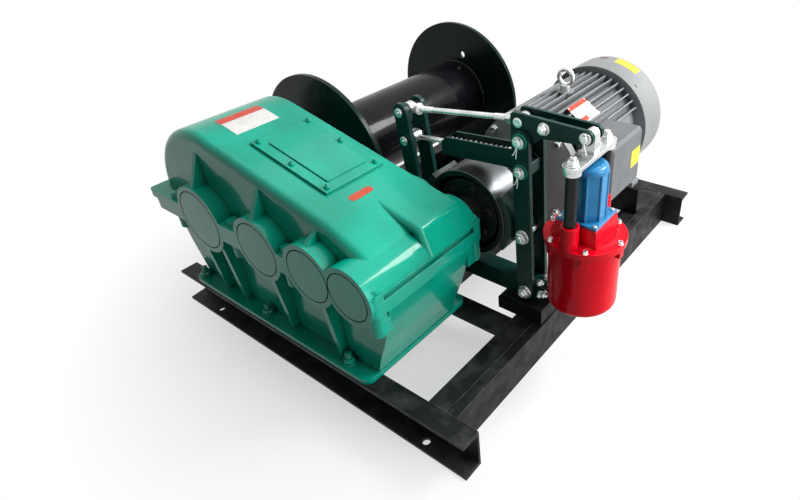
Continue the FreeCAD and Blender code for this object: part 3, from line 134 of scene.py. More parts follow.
class Surface:
    """One procedural material, and the node steps that it is built from."""

    def __init__(self, name):
        self.mat = bpy.data.materials.new(name)
        self.mat.use_nodes = True
        self.tree = self.mat.node_tree
        self.shader = self.tree.nodes["Principled BSDF"]
        coords = self.tree.nodes.new("ShaderNodeTexCoord")
        self.place = coords.outputs["Object"]
        geometry = self.tree.nodes.new("ShaderNodeNewGeometry")
        self.facing = geometry.outputs["Normal"]

    def put(self, socket, value):
        if isinstance(value, bpy.types.NodeSocket):
            self.tree.links.new(value, socket)
        else:
            socket.default_value = value

    def set(self, **values):
        for key, value in values.items():
            self.put(self.shader.inputs[key.replace("_", " ")], value)

    def noise(self, scale, detail=3.0, stretch=None):
        node = self.tree.nodes.new("ShaderNodeTexNoise")
        source = self.place
        if stretch is not None:
            mapping = self.tree.nodes.new("ShaderNodeMapping")
            mapping.inputs["Scale"].default_value = stretch
            self.put(mapping.inputs["Vector"], source)
            source = mapping.outputs[0]
        self.put(node.inputs["Vector"], source)
        node.inputs["Scale"].default_value = scale
        node.inputs["Detail"].default_value = detail
        return node.outputs[0]

    def ramp(self, value, low, high, to_low=0.0, to_high=1.0):
        node = self.tree.nodes.new("ShaderNodeMapRange")
        self.put(node.inputs[0], value)
        node.inputs[1].default_value = low
        node.inputs[2].default_value = high
        node.inputs[3].default_value = to_low
        node.inputs[4].default_value = to_high
        return node.outputs[0]

    def maths(self, kind, a, b=0.0):
        node = self.tree.nodes.new("ShaderNodeMath")
        node.operation = kind
        self.put(node.inputs[0], a)
        self.put(node.inputs[1], b)
        return node.outputs[0]

    def mix(self, amount, a, b):
        node = self.tree.nodes.new("ShaderNodeMix")
        node.data_type = "RGBA"
        self.put(node.inputs[0], amount)
        self.put(node.inputs[6], a)
        self.put(node.inputs[7], b)
        return node.outputs[2]

    def part_of(self, vector, axis):
        node = self.tree.nodes.new("ShaderNodeSeparateXYZ")
        self.put(node.inputs[0], vector)
        return node.outputs[axis]

    def from_axis(self, x, z):
        """Distance from an axis along Y, in metres."""
        dx = self.maths("SUBTRACT", self.part_of(self.place, 0), x)
        dz = self.maths("SUBTRACT", self.part_of(self.place, 2), z)
        square = self.maths("ADD", self.maths("MULTIPLY", dx, dx), self.maths("MULTIPLY", dz, dz))
        return self.maths("SQRT", square)

    def open_sky(self, reach):
        """One on open faces, less in corners within reach."""
        node = self.tree.nodes.new("ShaderNodeAmbientOcclusion")
        node.samples = 6
        node.inputs["Distance"].default_value = reach
        return node.outputs["AO"]

    def edges(self, radius):
        """Rounds the corners' shading, and returns the new normal and a mask of the outer edges."""
        bevel = self.tree.nodes.new("ShaderNodeBevel")
        bevel.samples = 6
        bevel.inputs["Radius"].default_value = radius
        dot = self.tree.nodes.new("ShaderNodeVectorMath")
        dot.operation = "DOT_PRODUCT"
        self.put(dot.inputs[0], bevel.outputs[0])
        self.put(dot.inputs[1], self.facing)
        mask = self.ramp(dot.outputs["Value"], 0.985, 0.86)
        return bevel.outputs[0], mask

    def bump(self, height, strength, distance, normal):
        node = self.tree.nodes.new("ShaderNodeBump")
        node.inputs["Strength"].default_value = strength
        node.inputs["Distance"].default_value = distance
        self.put(node.inputs["Height"], height)
        self.put(node.inputs["Normal"], normal)
        return node.outputs[0]

    def patches(self, scale, detail, low, high, to_low=0.0, to_high=1.0):
        """Noise, stretched between two values."""
        return self.ramp(self.noise(scale, detail), low, high, to_low, to_high)

    def over(self, base, amount, colour):
        """Lays a colour over a base."""
        return self.mix(amount, base, srgb(*colour))

    def open_edge(self, rim, sky, most=1.0):
        """The outer edges that nothing stands close to."""
        return self.maths("MULTIPLY", rim, self.ramp(sky, 0.72, 0.92, 0.0, most))

    def gloss(self, scale, detail, low, high):
        """Sets a roughness that drifts between two values."""
        self.set(Roughness=self.patches(scale, detail, 0.3, 0.7, low, high))


def paint(name, colour, deep, worn_and_lit, rough, coat, cast=0.0, edge=0.0016, wear_and_highlight=0.8, dust=0.25,
          specular=0.5, corner_shade=(14, 14, 13)):
    """Enamel with patches, dust specks, painted shade in the corners, and edges painted lighter: partly
    wear, partly a painted edge highlight.
    """
    s = Surface(name)
    sky = s.open_sky(0.02)
    normal, rim = s.edges(edge)
    base = s.mix(s.patches(7.0, 5.0, 0.35, 0.68), srgb(*colour), srgb(*deep))
    streaks = s.ramp(s.noise(34.0, 6.0, (1.0, 1.0, 0.35)), 0.52, 0.75, 0.0, 0.35)
    base = s.over(base, streaks, deep)
    base = s.over(base, s.patches(520.0, 2.0, 0.69, 0.74, 0.0, dust), (150, 145, 130))
    # painted shade: the corners that little open sky reaches are darkened
    base = s.over(base, s.ramp(sky, 0.75, 0.25, 0.0, 0.75), corner_shade)
    # partly wear, partly painted highlight: the open outer edges are lightened in patches
    chips_and_highlight = s.patches(60.0, 4.0, 0.34, 0.62, 0.15 * wear_and_highlight, wear_and_highlight)
    base = s.over(base, s.maths("MULTIPLY", s.open_edge(rim, sky), chips_and_highlight), worn_and_lit)
    s.set(Base_Color=base, Coat_Weight=coat, Coat_Roughness=0.07, Specular_IOR_Level=specular)
    s.gloss(26.0, 4.0, rough[0], rough[1])
    if cast:
        normal = s.bump(s.noise(46.0, 3.0), cast, 0.004, normal)
        normal = s.bump(s.noise(150.0, 2.0), cast * 0.6, 0.0012, normal)
    s.set(Normal=s.bump(s.noise(420.0, 2.0), 0.10, 0.0004, normal))
    return s.mat


def metal(name, colour, dark, rough, ring=0.0, stain=(70, 62, 48), stain_amount=0.3):
    """Bare or plated metal with tool marks, dull patches and faint stains, with painted shade in its
    corners and a painted highlight on its edges.
    """
    s = Surface(name)
    normal, rim = s.edges(0.0010)
    sky = s.open_sky(0.012)
    base = s.mix(s.patches(24.0, 5.0, 0.38, 0.66), srgb(*colour), srgb(*dark))
    base = s.over(base, s.patches(90.0, 5.0, 0.58, 0.74, 0.0, stain_amount), stain)
    # painted shade in the corners
    base = s.over(base, s.ramp(sky, 0.72, 0.2, 0.0, 0.85), (22, 21, 19))
    # painted highlight: the edges are lightened towards near white
    base = s.over(base, s.maths("MULTIPLY", rim, 0.5), (235, 238, 236))
    s.set(Base_Color=base, Metallic=0.92)
    s.gloss(55.0, 4.0, rough[0], rough[1])
    if ring:
        normal = s.bump(s.noise(900.0, 2.0, (0.02, 1.0, 0.02)), ring, 0.0003, normal)
    s.set(Normal=s.bump(s.noise(300.0, 3.0), 0.08, 0.0003, normal))
    return s.mat


def two_tone(name, inner, outer, limit, gloss, metallic_outer):
    """A part turned about the input axis: one finish inside a radius, another outside it."""
    s = Surface(name)
    normal, rim = s.edges(0.0012)
    sky = s.open_sky(0.02)
    radius = s.from_axis(INPUT_AXIS[0] / MM, INPUT_AXIS[1] / MM)
    mask = s.ramp(radius, limit - 0.0002, limit + 0.0002)
    patches = s.patches(18.0, 5.0, 0.35, 0.7, 0.0, 0.45)
    inside = s.mix(patches, srgb(*inner[0]), srgb(*inner[1]))
    outside = s.mix(patches, srgb(*outer[0]), srgb(*outer[1]))
    base = s.mix(mask, inside, outside)
    # painted shade in the corners
    base = s.over(base, s.ramp(sky, 0.7, 0.2, 0.0, 0.7), (8, 8, 8))
    # painted highlight on the open outer edges
    base = s.over(base, s.open_edge(rim, sky, 0.7), (150, 156, 152))
    s.set(Base_Color=base)
    if metallic_outer:
        s.set(Metallic=s.maths("MULTIPLY", mask, 0.9))
    s.gloss(40.0, 4.0, gloss[0], gloss[1])
    s.set(Normal=s.bump(s.noise(700.0, 2.0, (0.02, 1.0, 0.02)), 0.12, 0.0003, normal))
    return s.mat


def sheet_material(name, colour, deep):
    """A film without any print: slightly faded, scuffed and dusty."""
    s = Surface(name)
    base = s.mix(s.patches(60.0, 4.0, 0.35, 0.7, 0.0, 0.6), srgb(*colour), srgb(*deep))
    base = s.over(base, s.patches(700.0, 3.0, 0.66, 0.74, 0.0, 0.3), (110, 105, 95))
    s.set(Base_Color=base)
    s.gloss(90.0, 3.0, 0.27, 0.50)
    s.set(Normal=s.bump(s.noise(120.0, 2.0), 0.15, 0.0006, s.facing))
    return s.mat


def frame_material():
    """Black satin paint: scuffed and pale on top, near black on the sides, with specks of rust."""
    s = Surface("frame_black")
    normal, rim = s.edges(0.0018)
    sky = s.open_sky(0.03)
    upward = s.ramp(s.part_of(s.facing, 2), 0.55, 0.95)
    base = s.mix(s.patches(9.0, 5.0, 0.35, 0.7), srgb(17, 18, 20), srgb(9, 10, 11))
    scuffs = s.patches(22.0, 8.0, 0.44, 0.70, 0.05, 0.75)
    base = s.over(base, s.maths("MULTIPLY", upward, scuffs), (66, 67, 70))
    scratch = s.ramp(s.noise(60.0, 6.0, (0.25, 3.0, 1.0)), 0.64, 0.70, 0.0, 0.35)
    base = s.over(base, scratch, (84, 84, 86))
    base = s.over(base, s.patches(48.0, 6.0, 0.70, 0.76, 0.0, 0.6), (86, 44, 26))
    # painted shade in the corners
    base = s.over(base, s.ramp(sky, 0.7, 0.2, 0.0, 0.7), (5, 5, 6))
    # partly wear, partly painted highlight: the open outer edges are lightened in patches
    chips_and_highlight = s.patches(50.0, 4.0, 0.35, 0.62, 0.1, 0.7)
    base = s.over(base, s.maths("MULTIPLY", s.open_edge(rim, sky), chips_and_highlight), (126, 128, 130))
    s.set(Base_Color=base, Specular_IOR_Level=0.18)
    s.gloss(30.0, 5.0, 0.36, 0.62)
    normal = s.bump(s.noise(38.0, 4.0), 0.16, 0.002, normal)
    s.set(Normal=s.bump(s.noise(380.0, 2.0), 0.14, 0.0005, normal))
    return s.mat


def drum_material(name, specular, coat):
    """Black enamel: blue-black on the barrel and green-black outside it, rubbed along the axis, with
    painted shade in its corners and painted reflection on its rims.
    """
    s = Surface(name)
    normal, rim = s.edges(0.0016)
    sky = s.open_sky(0.03)
    outside_barrel = s.ramp(s.from_axis(DRUM_AXIS[0] / MM, DRUM_AXIS[1] / MM), 0.112, 0.125)
    black = s.mix(s.patches(8.0, 4.0, 0.35, 0.7), srgb(13, 13, 17), srgb(8, 8, 11))
    green = s.mix(s.patches(6.0, 4.0, 0.35, 0.7), srgb(9, 33, 30), srgb(6, 17, 17))
    base = s.mix(outside_barrel, black, green)
    rubs = s.ramp(s.noise(40.0, 6.0, (1.0, 0.12, 1.0)), 0.60, 0.74, 0.0, 0.28)
    base = s.over(base, rubs, (46, 48, 52))
    base = s.over(base, s.patches(480.0, 2.0, 0.69, 0.74, 0.0, 0.3), (110, 110, 108))
    # painted shade in the corners
    base = s.over(base, s.ramp(sky, 0.7, 0.2, 0.0, 0.6), (4, 4, 5))
    # partly wear, partly painted reflection: the open outer edges turn light green in patches
    chips_and_highlight = s.patches(40.0, 4.0, 0.3, 0.6, 0.25, 0.8)
    base = s.over(base, s.maths("MULTIPLY", s.open_edge(rim, sky), chips_and_highlight), (86, 128, 120))
    s.set(Base_Color=base, Coat_Weight=coat, Coat_Roughness=0.08, Specular_IOR_Level=specular)
    s.gloss(20.0, 5.0, 0.20, 0.36)
    s.set(Normal=s.bump(s.noise(30.0, 3.0), 0.10, 0.002, normal))
    return s.mat


def make_materials():
    m = {}
    m["gearbox"] = paint("gearbox_enamel", (0, 178, 150), (0, 154, 128), (120, 232, 206), (0.24, 0.36),
                         coat=0.40, cast=0.10, wear_and_highlight=0.9, corner_shade=(4, 34, 30), specular=0.06)
    m["plates"] = paint("brake_green", (16, 62, 56), (11, 44, 41), (96, 158, 146), (0.30, 0.46),
                        coat=0.05, cast=0.03, edge=0.0014, wear_and_highlight=1.0, specular=0.2)
    m["motor"] = paint("motor_grey", (146, 149, 151), (124, 127, 130), (204, 206, 206), (0.34, 0.50),
                       specular=0.3, coat=0.10, cast=0.05, wear_and_highlight=0.7, corner_shade=(26, 27, 28))
    m["box"] = paint("terminal_box_grey", (114, 117, 119), (100, 103, 106), (168, 170, 170), (0.34, 0.50),
                     coat=0.10, wear_and_highlight=0.7, specular=0.3, corner_shade=(20, 21, 22))
    m["cowl"] = paint("cowl_grey", (146, 148, 149), (128, 131, 132), (200, 202, 202), (0.32, 0.46),
                      specular=0.3, coat=0.15, wear_and_highlight=0.6, dust=0.3, corner_shade=(20, 21, 22))
    m["red"] = paint("thruster_red", (248, 0, 34), (226, 0, 28), (255, 120, 128), (0.22, 0.34),
                     specular=0.08, coat=0.12, cast=0.05, wear_and_highlight=0.7, dust=0.2, corner_shade=(90, 2, 14))
    m["blue"] = paint("thruster_blue", (48, 152, 206), (28, 120, 182), (138, 200, 232), (0.22, 0.34),
                      specular=0.25, coat=0.25, cast=0.03, wear_and_highlight=0.8, corner_shade=(6, 22, 44))
    m["rod"] = paint("rod_black", (22, 22, 24), (13, 13, 15), (92, 94, 98), (0.28, 0.42),
                     coat=0.12, specular=0.2, wear_and_highlight=0.6)
    m["dark"] = paint("dark_castings", (18, 20, 21), (10, 11, 12), (90, 94, 94), (0.34, 0.5),
                      coat=0.2, cast=0.10, wear_and_highlight=0.7)
    m["frame"] = frame_material()
    m["drum"] = drum_material("drum_barrel_black", 0.08, 0.24)
    m["flange"] = drum_material("drum_flange_black", 0.12, 0.03)
    m["steel"] = metal("bare_steel", (168, 170, 168), (126, 128, 127), (0.24, 0.40), ring=0.2)
    m["zinc"] = metal("zinc_plate", (236, 238, 237), (204, 207, 206), (0.22, 0.38), stain=(150, 140, 100),
                      stain_amount=0.25)
    m["spring"] = metal("spring_steel", (190, 193, 194), (120, 124, 126), (0.22, 0.36))
    m["wheel"] = two_tone("wheel_turned", ((15, 16, 17), (8, 9, 10)), ((100, 103, 104), (74, 77, 78)),
                          0.1036, (0.26, 0.40), True)
    m["shoe"] = two_tone("shoe_and_lining", ((54, 48, 42), (34, 31, 28)), ((22, 60, 55), (14, 42, 39)),
                         0.1134, (0.40, 0.60), False)
    m["white_film"] = sheet_material("label_white", (232, 232, 228), (208, 208, 204))
    m["red_film"] = sheet_material("label_red", (214, 62, 34), (186, 46, 28))
    m["yellow_film"] = sheet_material("label_yellow", (240, 226, 60), (222, 204, 44))
    m["dark_film"] = sheet_material("label_dark", (88, 44, 44), (66, 34, 36))
    m["orange_film"] = sheet_material("label_orange", (200, 66, 24), (176, 54, 22))
    return m


MATERIALS = make_materials()
BY_SLOT = {
    "frame_paint": "frame",
    "gearbox_paint": "gearbox",
    "drum_paint": "drum",
    "brake_paint": "plates",
    "motor_paint": "motor",
    "bare_steel": "steel",
    "zinc": "zinc",
    "thruster_red": "red",
    "thruster_blue": "blue",
    "rod_black": "rod",
    "lining": "shoe",
}
BY_NODE = {
    "drum_near_flange": "flange",
    "drum_far_flange": "flange",
    "drum_pedestal": "flange",
    "brake_wheel": "wheel",
    "left_shoe": "shoe",
    "right_shoe": "shoe",
    "motor_fan_cover": "cowl",
    "motor_end_shield": "cowl",
    "motor_terminal_box": "box",
    "input_shaft": "dark",
    "brake_blocks": "frame",
    "brake_spring": "spring",
    "tie_rod": "zinc",
    "spring_rod": "zinc",
}


def dress_nodes():
    for name, obj in NODES.items():
        for part in obj.material_slots:
            slot = part.material.name.split(".")[0]
            part.material = MATERIALS[BY_NODE.get(name) or BY_SLOT[slot]]


# ---------------------------------------------------------------- mesh helpers
def at(place, axis=(0, 0, 1), turn=0.0):
    """A place in millimetres whose local Z runs along axis."""
    aim = Vector(axis).normalized().to_track_quat("Z", "Y")
    return Matrix.Translation(Vector(place)) @ aim.to_matrix().to_4x4() @ Matrix.Rotation(turn, 4, "Z")


def lift(where, up):
    return where @ Matrix.Translation((0.0, 0.0, up))


def any_turn():
    return RNG.uniform(0.0, 1.0)


def skin(bm, rings, closed=False):
    """Faces between rings of vertices; the two ends are capped unless the rings close on themselves."""
    pairs = list(zip(rings, rings[1:]))
    if closed:
        pairs.append((rings[-1], rings[0]))
    sides = len(rings[0])
    for low, high in pairs:
        for k in range(sides):
            n = (k + 1) % sides
            bm.faces.new((low[k], low[n], high[n], high[k]))
    if not closed:
        bm.faces.new(list(reversed(rings[0])))
        bm.faces.new(rings[-1])


def lathe(bm, where, profile, sides):
    """Turns a profile of radius and height pairs about the local Z, and closes both ends."""
    rings = []
    for r, h in profile:
        ring = []
        for k in range(sides):
            a = 2.0 * math.pi * k / sides
            ring.append(bm.verts.new(where @ Vector((r * math.cos(a), r * math.sin(a), h))))
        rings.append(ring)
    skin(bm, rings)


def sweep(bm, points, widths, spins, sides=8, closed=False):
    """A round section of changing width, carried along points."""
    rings = []
    for p, w, spin in zip(points, widths, spins):
        ring = []
        for j in range(sides):
            a = 2.0 * math.pi * j / sides
            ring.append(bm.verts.new(p + spin @ Vector((w * math.cos(a), w * math.sin(a), 0.0))))
        rings.append(ring)
    skin(bm, rings, closed)


def turned_to(direction):
    return direction.to_track_quat("Z", "Y").to_matrix()


def tube(bm, points, radius, sides=8):
    """A round wire along points."""
    pts = [Vector(p) for p in points]
    spins = []
    for k in range(len(pts)):
        ahead = pts[min(k + 1, len(pts) - 1)] - pts[max(k - 1, 0)]
        spins.append(turned_to(ahead.normalized()))
    sweep(bm, pts, [radius] * len(pts), spins, sides)


def hexagon(bm, where, across, height):
    """A hexagon with its corners chamfered at the top, and a low round face on it."""
    r = across / math.sqrt(3.0)
    lathe(bm, where, [(r, 0.0), (r, height * 0.80), (r * 0.90, height)], 6)
    face = lift(where, height - 0.1)
    lathe(bm, face, [(across * 0.44, 0.0), (across * 0.44, 0.35), (across * 0.40, 0.6)], 24)


def washer(bm, where, radius, thick):
    lathe(bm, where, [(radius, 0.0), (radius, thick * 0.7), (radius - 0.6, thick)], 32)


def thread(bm, where, radius, length, pitch=1.75):
    """A threaded end: turned ridges and a chamfered tip."""
    profile = []
    h = 0.0
    while h < length - 1.5:
        profile.append((radius, h))
        profile.append((radius - 0.8, h + pitch * 0.5))
        h += pitch
    profile.append((radius, length - 1.2))
    profile.append((radius - 1.6, length))
    lathe(bm, where, profile, 20)


def bolt(bm, where, size, head=None):
    """A washer and a hexagon head, for a bolt of this diameter."""
    washer(bm, where, size * 1.08, size * 0.16)
    hexagon(bm, lift(where, size * 0.16), size * 1.55, head or size * 0.62)


def stud_nut(bm, where, size, tip):
    """A washer, a nut and the stud's threaded end, for a stud of this diameter."""
    washer(bm, where, size * 1.12, size * 0.18)
    hexagon(bm, lift(where, size * 0.18), size * 1.6, size * 0.78)
    up = size * 0.18 + size * 0.82
    thread(bm, lift(where, up - 1.0), size * 0.5, size * tip + 1.0)


def pin_nut(bm, where, rim, across, height, end, tail):
    """A washer and a nut, and the pin's threaded end that starts at tail."""
    washer(bm, where, rim, 2.4)
    hexagon(bm, lift(where, 2.2), across, height)
    thread(bm, lift(where, tail), end, 6.0)


def socket_screw(bm, where, size):
    """A cap screw: a rounded head with a round recess."""
    r = size * 0.78
    top = size * 0.85
    profile = [(r, 0.0), (r, size * 0.72), (r * 0.90, top), (r * 0.52, top), (r * 0.50, size * 0.30)]
    lathe(bm, where, profile, 24)


def split_pin(bm, x, y, z, drop, lean):
    """A split pin through a pin's end: its eye above, its two legs bent down."""
    eye = []
    for k in range(13):
        a = math.radians(-60.0 + 300.0 * k / 12)
        eye.append((x + 4.0 * math.cos(a), y, z + 7.0 + 4.0 * math.sin(a)))
    tube(bm, eye, 1.3)
    for side in (-1.0, 1.0):
        leg = [
            (x + side * 0.8, y, z + 4.0),
            (x + side * 0.8, y, z - 7.0),
            (x + side * 1.6 + lean * 0.3, y - 0.6, z - 7.0 - drop * 0.35),
            (x + side * 3.2 + lean * 0.7, y - 1.4, z - 7.0 - drop * 0.7),
            (x + side * 4.4 + lean, y - 1.8, z - 7.0 - drop * (0.85 + 0.12 * side)),
        ]
        tube(bm, leg, 1.3 * 0.9)


def bead(bm, start, end, radius, step=3.2):
    """A weld bead: overlapping ripples laid along a line, thinner at its ends."""
    a, b = Vector(start), Vector(end)
    count = max(3, int((b - a).length / step))
    points = []
    widths = []
    for k in range(count * 3 + 1):
        t = k / (count * 3)
        wave = 1.0 - 0.22 * ((k % 3) / 2.0) + RNG.uniform(-0.06, 0.06)
        points.append(a.lerp(b, t))
        widths.append(radius * wave * min(1.0, 0.45 + 4.0 * min(t, 1.0 - t)))
    spin = turned_to((b - a).normalized())
    sweep(bm, points, widths, [spin] * len(points))


def round_bead(bm, x, z, radius, y, size):
    """A weld bead round an axis along Y."""
    count = int(2.0 * math.pi * radius / 4.0) * 3
    points, widths, spins = [], [], []
    for k in range(count):
        a = 2.0 * math.pi * k / count
        points.append(Vector((x + radius * math.cos(a), y, z + radius * math.sin(a))))
        widths.append(size * (1.0 - 0.2 * ((k % 3) / 2.0) + RNG.uniform(-0.05, 0.05)))
        spins.append(turned_to(Vector((-math.sin(a), 0.0, math.cos(a)))))
    sweep(bm, points, widths, spins, closed=True)


TREES = {}


def surface_of(node):
    if node not in TREES:
        mesh = NODES[node].data
        verts = [v.co * MM for v in mesh.vertices]
        faces = [tuple(p.vertices) for p in mesh.polygons]
        TREES[node] = BVHTree.FromPolygons(verts, faces)
    return TREES[node]


def hit(node, origin, direction):
    """Where a line first meets a CAD node, in millimetres, with the surface's normal there."""
    where, normal, _, _ = surface_of(node).ray_cast(Vector(origin), Vector(direction).normalized())
    if where is None:
        raise RuntimeError("nothing of " + node + " lies that way")
    return where, normal


def film(bm, node, centre, across, along, size, thick, corner, down):
    """A thin sheet with rounded corners: laid on a node's surface, or flat where node is None."""
    u = Vector(across).normalized()
    v = Vector(along).normalized()
    down = Vector(down).normalized()
    width, length = size
    rows, columns = 26, 12
    top, bottom = [], []
    for i in range(rows + 1):
        t = length * (i / rows - 0.5)
        over = abs(t) - (length / 2.0 - corner)
        half = width / 2.0
        if over > 0.0 and corner > 0.0:
            half = width / 2.0 - corner + math.sqrt(max(0.0, corner * corner - over * over)) + 0.05
        high, low = [], []
        for j in range(columns + 1):
            s = half * (2.0 * j / columns - 1.0)
            where = Vector(centre) + u * s + v * t
            normal = -down
            if node:
                where, normal = hit(node, where - down * 80.0, down)
            high.append(bm.verts.new(where + normal * thick))
            low.append(bm.verts.new(where + normal * 0.02))
        top.append(high)
        bottom.append(low)
    for grid, flip in ((top, False), (bottom, True)):
        for i in range(rows):
            for j in range(columns):
                loop = [grid[i][j], grid[i][j + 1], grid[i + 1][j + 1], grid[i + 1][j]]
                bm.faces.new(list(reversed(loop)) if flip else loop)
    for i in range(rows):
        for j in (0, columns):
            bm.faces.new((top[i][j], top[i + 1][j], bottom[i + 1][j], bottom[i][j]))
    for j in range(columns):
        for i in (0, rows):
            bm.faces.new((top[i][j], top[i][j + 1], bottom[i][j + 1], bottom[i][j]))


def make(name, bm, body, material):
    """Turns the millimetre mesh into a piece in metres that rides on a body."""
    bmesh.ops.recalc_face_normals(bm, faces=bm.faces)
    bmesh.ops.transform(bm, matrix=Matrix.Scale(1.0 / MM, 4), verts=bm.verts)
    mesh = bpy.data.meshes.new(name)
    bm.to_mesh(mesh)
    bm.free()
    mesh.shade_smooth()
    mesh.set_sharp_from_angle(angle=math.radians(32.0))
    mesh.materials.append(MATERIALS[material])
    piece = bpy.data.objects.new(name, mesh)
    bpy.context.scene.collection.objects.link(piece)
    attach(piece, body)
    return piece


# ---------------------------------------------------------------- gearbox pieces
CASE_Y = span("gearbox_upper_case", 1)
# the case splits at the height of its shafts, and its flange is 19 mm thick there
SPLIT_TOP = INPUT_AXIS[1] + 19.0
SPLIT_X = (-386.0, -152.0, 41.0, 288.0)
SPLIT_Y = (CASE_Y[0] + 20.0, CASE_Y[1] - 20.0)
# the case's feet are 13 mm thick
FOOT_TOP = span("gearbox_lower_case", 2)[0] + 13.0
FOOT_X = (-400.0, -124.0, 165.0)
FOOT_Y = (CASE_Y[0] + 22.0, CASE_Y[1] - 23.0)
COVER_TILT = math.radians(13.4)
COVER_MIDDLE = (-25.0, -386.0)
# the screw heads start this far above the cover's face
COVER_RISE = 0.3
# above the whole upper case, so that a label cast down from here lands on it
LABEL_Z = 560.0


def gearbox_bolts():
    bm = bmesh.new()
    for x in SPLIT_X:
        for y in SPLIT_Y:
            bolt(bm, at((x, y, SPLIT_TOP), (0, 0, 1), any_turn()), 16.0, 11.0)
    make("gearbox_joint_bolts", bm, "frame", "gearbox")
    bm = bmesh.new()
    for x in FOOT_X:
        for y in FOOT_Y:
            stud_nut(bm, at((x, y, FOOT_TOP), (0, 0, 1), any_turn()), 15.0, 0.9)
    make("gearbox_foot_nuts", bm, "frame", "gearbox")


def cover_screws():
    top, _ = hit("inspection_cover", (COVER_MIDDLE[0], COVER_MIDDLE[1], 700.0), (0, 0, -1))
    downhill = Vector((math.cos(COVER_TILT), 0.0, -math.sin(COVER_TILT)))
    out = Vector((math.sin(COVER_TILT), 0.0, math.cos(COVER_TILT)))
    bm = bmesh.new()
    for u in (-108.0, 0.0, 108.0):
        for w in (-68.0, 68.0):
            where = top + downhill * u + Vector((0.0, w, 0.0)) + out * COVER_RISE
            socket_screw(bm, at(where, out, any_turn()), 5.0)
    make("inspection_cover_screws", bm, "frame", "gearbox")


def gearbox_plugs():
    """A drain plug low on the end wall and an oil level plug above it."""
    bm = bmesh.new()
    for z, size in ((168.0, 20.0), (238.0, 14.0)):
        where, _ = hit("gearbox_lower_case", (-700.0, -404.0, z), (1, 0, 0))
        aim = at(where, (-1, 0, 0), 0.2)
        washer(bm, aim, size * 0.95, 2.5)
        hexagon(bm, lift(aim, 2.4), size * 1.35, size * 0.55)
    make("gearbox_oil_plugs", bm, "frame", "gearbox")


def gearbox_labels():
    for name, x, y, size, corner, material in (
        ("gearbox_plate_blank", -216.5, -408.0, (55.0, 113.0), 0.0, "white_film"),
        ("gearbox_plate_stripe", -258.6, -408.0, (29.0, 113.0), 0.0, "red_film"),
        ("gearbox_orange_tab", 131.5, -411.0, (18.0, 62.0), 8.9, "orange_film"),
    ):
        bm = bmesh.new()
        centre = (x, y, LABEL_Z)
        film(bm, "gearbox_upper_case", centre, (1, 0, 0), (0, 1, 0), size, 0.5, corner, (0, 0, -1))
        make(name, bm, "frame", material)


# ---------------------------------------------------------------- motor pieces
def round_input(angle, radius, y):
    """A place round the input axis, by an angle in degrees from X, and the way out from the axis."""
    a = math.radians(angle)
    out = Vector((math.cos(a), 0.0, math.sin(a)))
    return Vector((INPUT_AXIS[0], y, INPUT_AXIS[1])) + out * radius, out


def motor_foot_bolts():
    bm = bmesh.new()
    for side in (-1.0, 1.0):
        for y in (175.0, 385.0):
            place = (INPUT_AXIS[0] + side * 127.0, y, 200.0)
            bolt(bm, at(place, (0, 0, 1), any_turn()), 12.0)
    make("motor_foot_bolts", bm, "frame", "zinc")


def motor_shield_bolts():
    """Four bolts round the end shield's rim, and three round its bearing."""
    bm = bmesh.new()
    for count, first, radius, size, turn in ((4, 45.0, 132.0, 10.0, 0.3), (3, 90.0, 58.0, 7.0, 0.4)):
        for k in range(count):
            start, _ = round_input(first + 360.0 / count * k, radius, -40.0)
            where, _ = hit("motor_end_shield", start, (0, 1, 0))
            bolt(bm, at(where, (0, -1, 0), turn * k), size)
    make("motor_shield_bolts", bm, "frame", "zinc")


def cowl_screws():
    bm = bmesh.new()
    for angle in (47.0, 133.0, 227.0, 313.0):
        place, out = round_input(angle, 163.8, 434.0)
        lathe(bm, at(place, out), [(5.5, 0.0), (5.2, 1.6), (3.4, 2.8)], 20)
    make("cowl_screws", bm, "frame", "cowl")


def motor_labels():
    centre, out = round_input(70.0, 170.0, 490.0)
    around = Vector((out.z, 0.0, -out.x))
    bm = bmesh.new()
    film(bm, "motor_fan_cover", centre, (0, 1, 0), around, (34.0, 72.0), 0.5, 1.0, -out)
    make("cowl_yellow_tab", bm, "frame", "yellow_film")
    bm = bmesh.new()
    centre = (217.0, 495.0, 540.0)
    film(bm, "motor_fan_cover", centre, (0, 1, 0), (1, 0, 0), (9.0, 24.0), 0.4, 4.4, (0, 0, -1))
    make("cowl_dark_tab", bm, "frame", "dark_film")
    bm = bmesh.new()
    centre = (460.0, 221.0, 361.0)
    film(bm, "motor_terminal_box", centre, (0, 1, 0), (0, 0, 1), (50.0, 47.0), 0.5, 1.0, (-1, 0, 0))
    make("terminal_box_yellow_tab", bm, "frame", "yellow_film")


def motor_nameplate():
    """A thin plate riveted over the fin tips, left blank."""
    centre, out = round_input(57.0, 149.6, 184.0)
    across = Vector((out.z, 0.0, -out.x))
    along = Vector((0.0, 1.0, 0.0))
    for name, low, high, material in (
        ("motor_nameplate_blank", -17.0, 29.0, "white_film"),
        ("motor_nameplate_band_near", -29.0, -17.2, "red_film"),
    ):
        bm = bmesh.new()
        middle = centre + across * (low + high) / 2.0
        film(bm, None, middle, across, along, (high - low, 88.0), 1.2, 0.8, -out)
        make(name, bm, "frame", material)
    bm = bmesh.new()
    spot = centre + across * 19.0 - along * 22.0 + out * 1.2
    film(bm, None, spot, across, along, (13.0, 34.0), 0.3, 0.0, -out)
    make("motor_nameplate_block", bm, "frame", "red_film")
    bm = bmesh.new()
    for u in (-26.0, 26.0):
        for v in (-40.0, 40.0):
            spot = centre + across * u + along * v + out * 1.1
            lathe(bm, at(spot, out), [(2.4, 0.0), (2.2, 0.9), (1.2, 1.6)], 14)
    make("motor_nameplate_rivets", bm, "frame", "zinc")


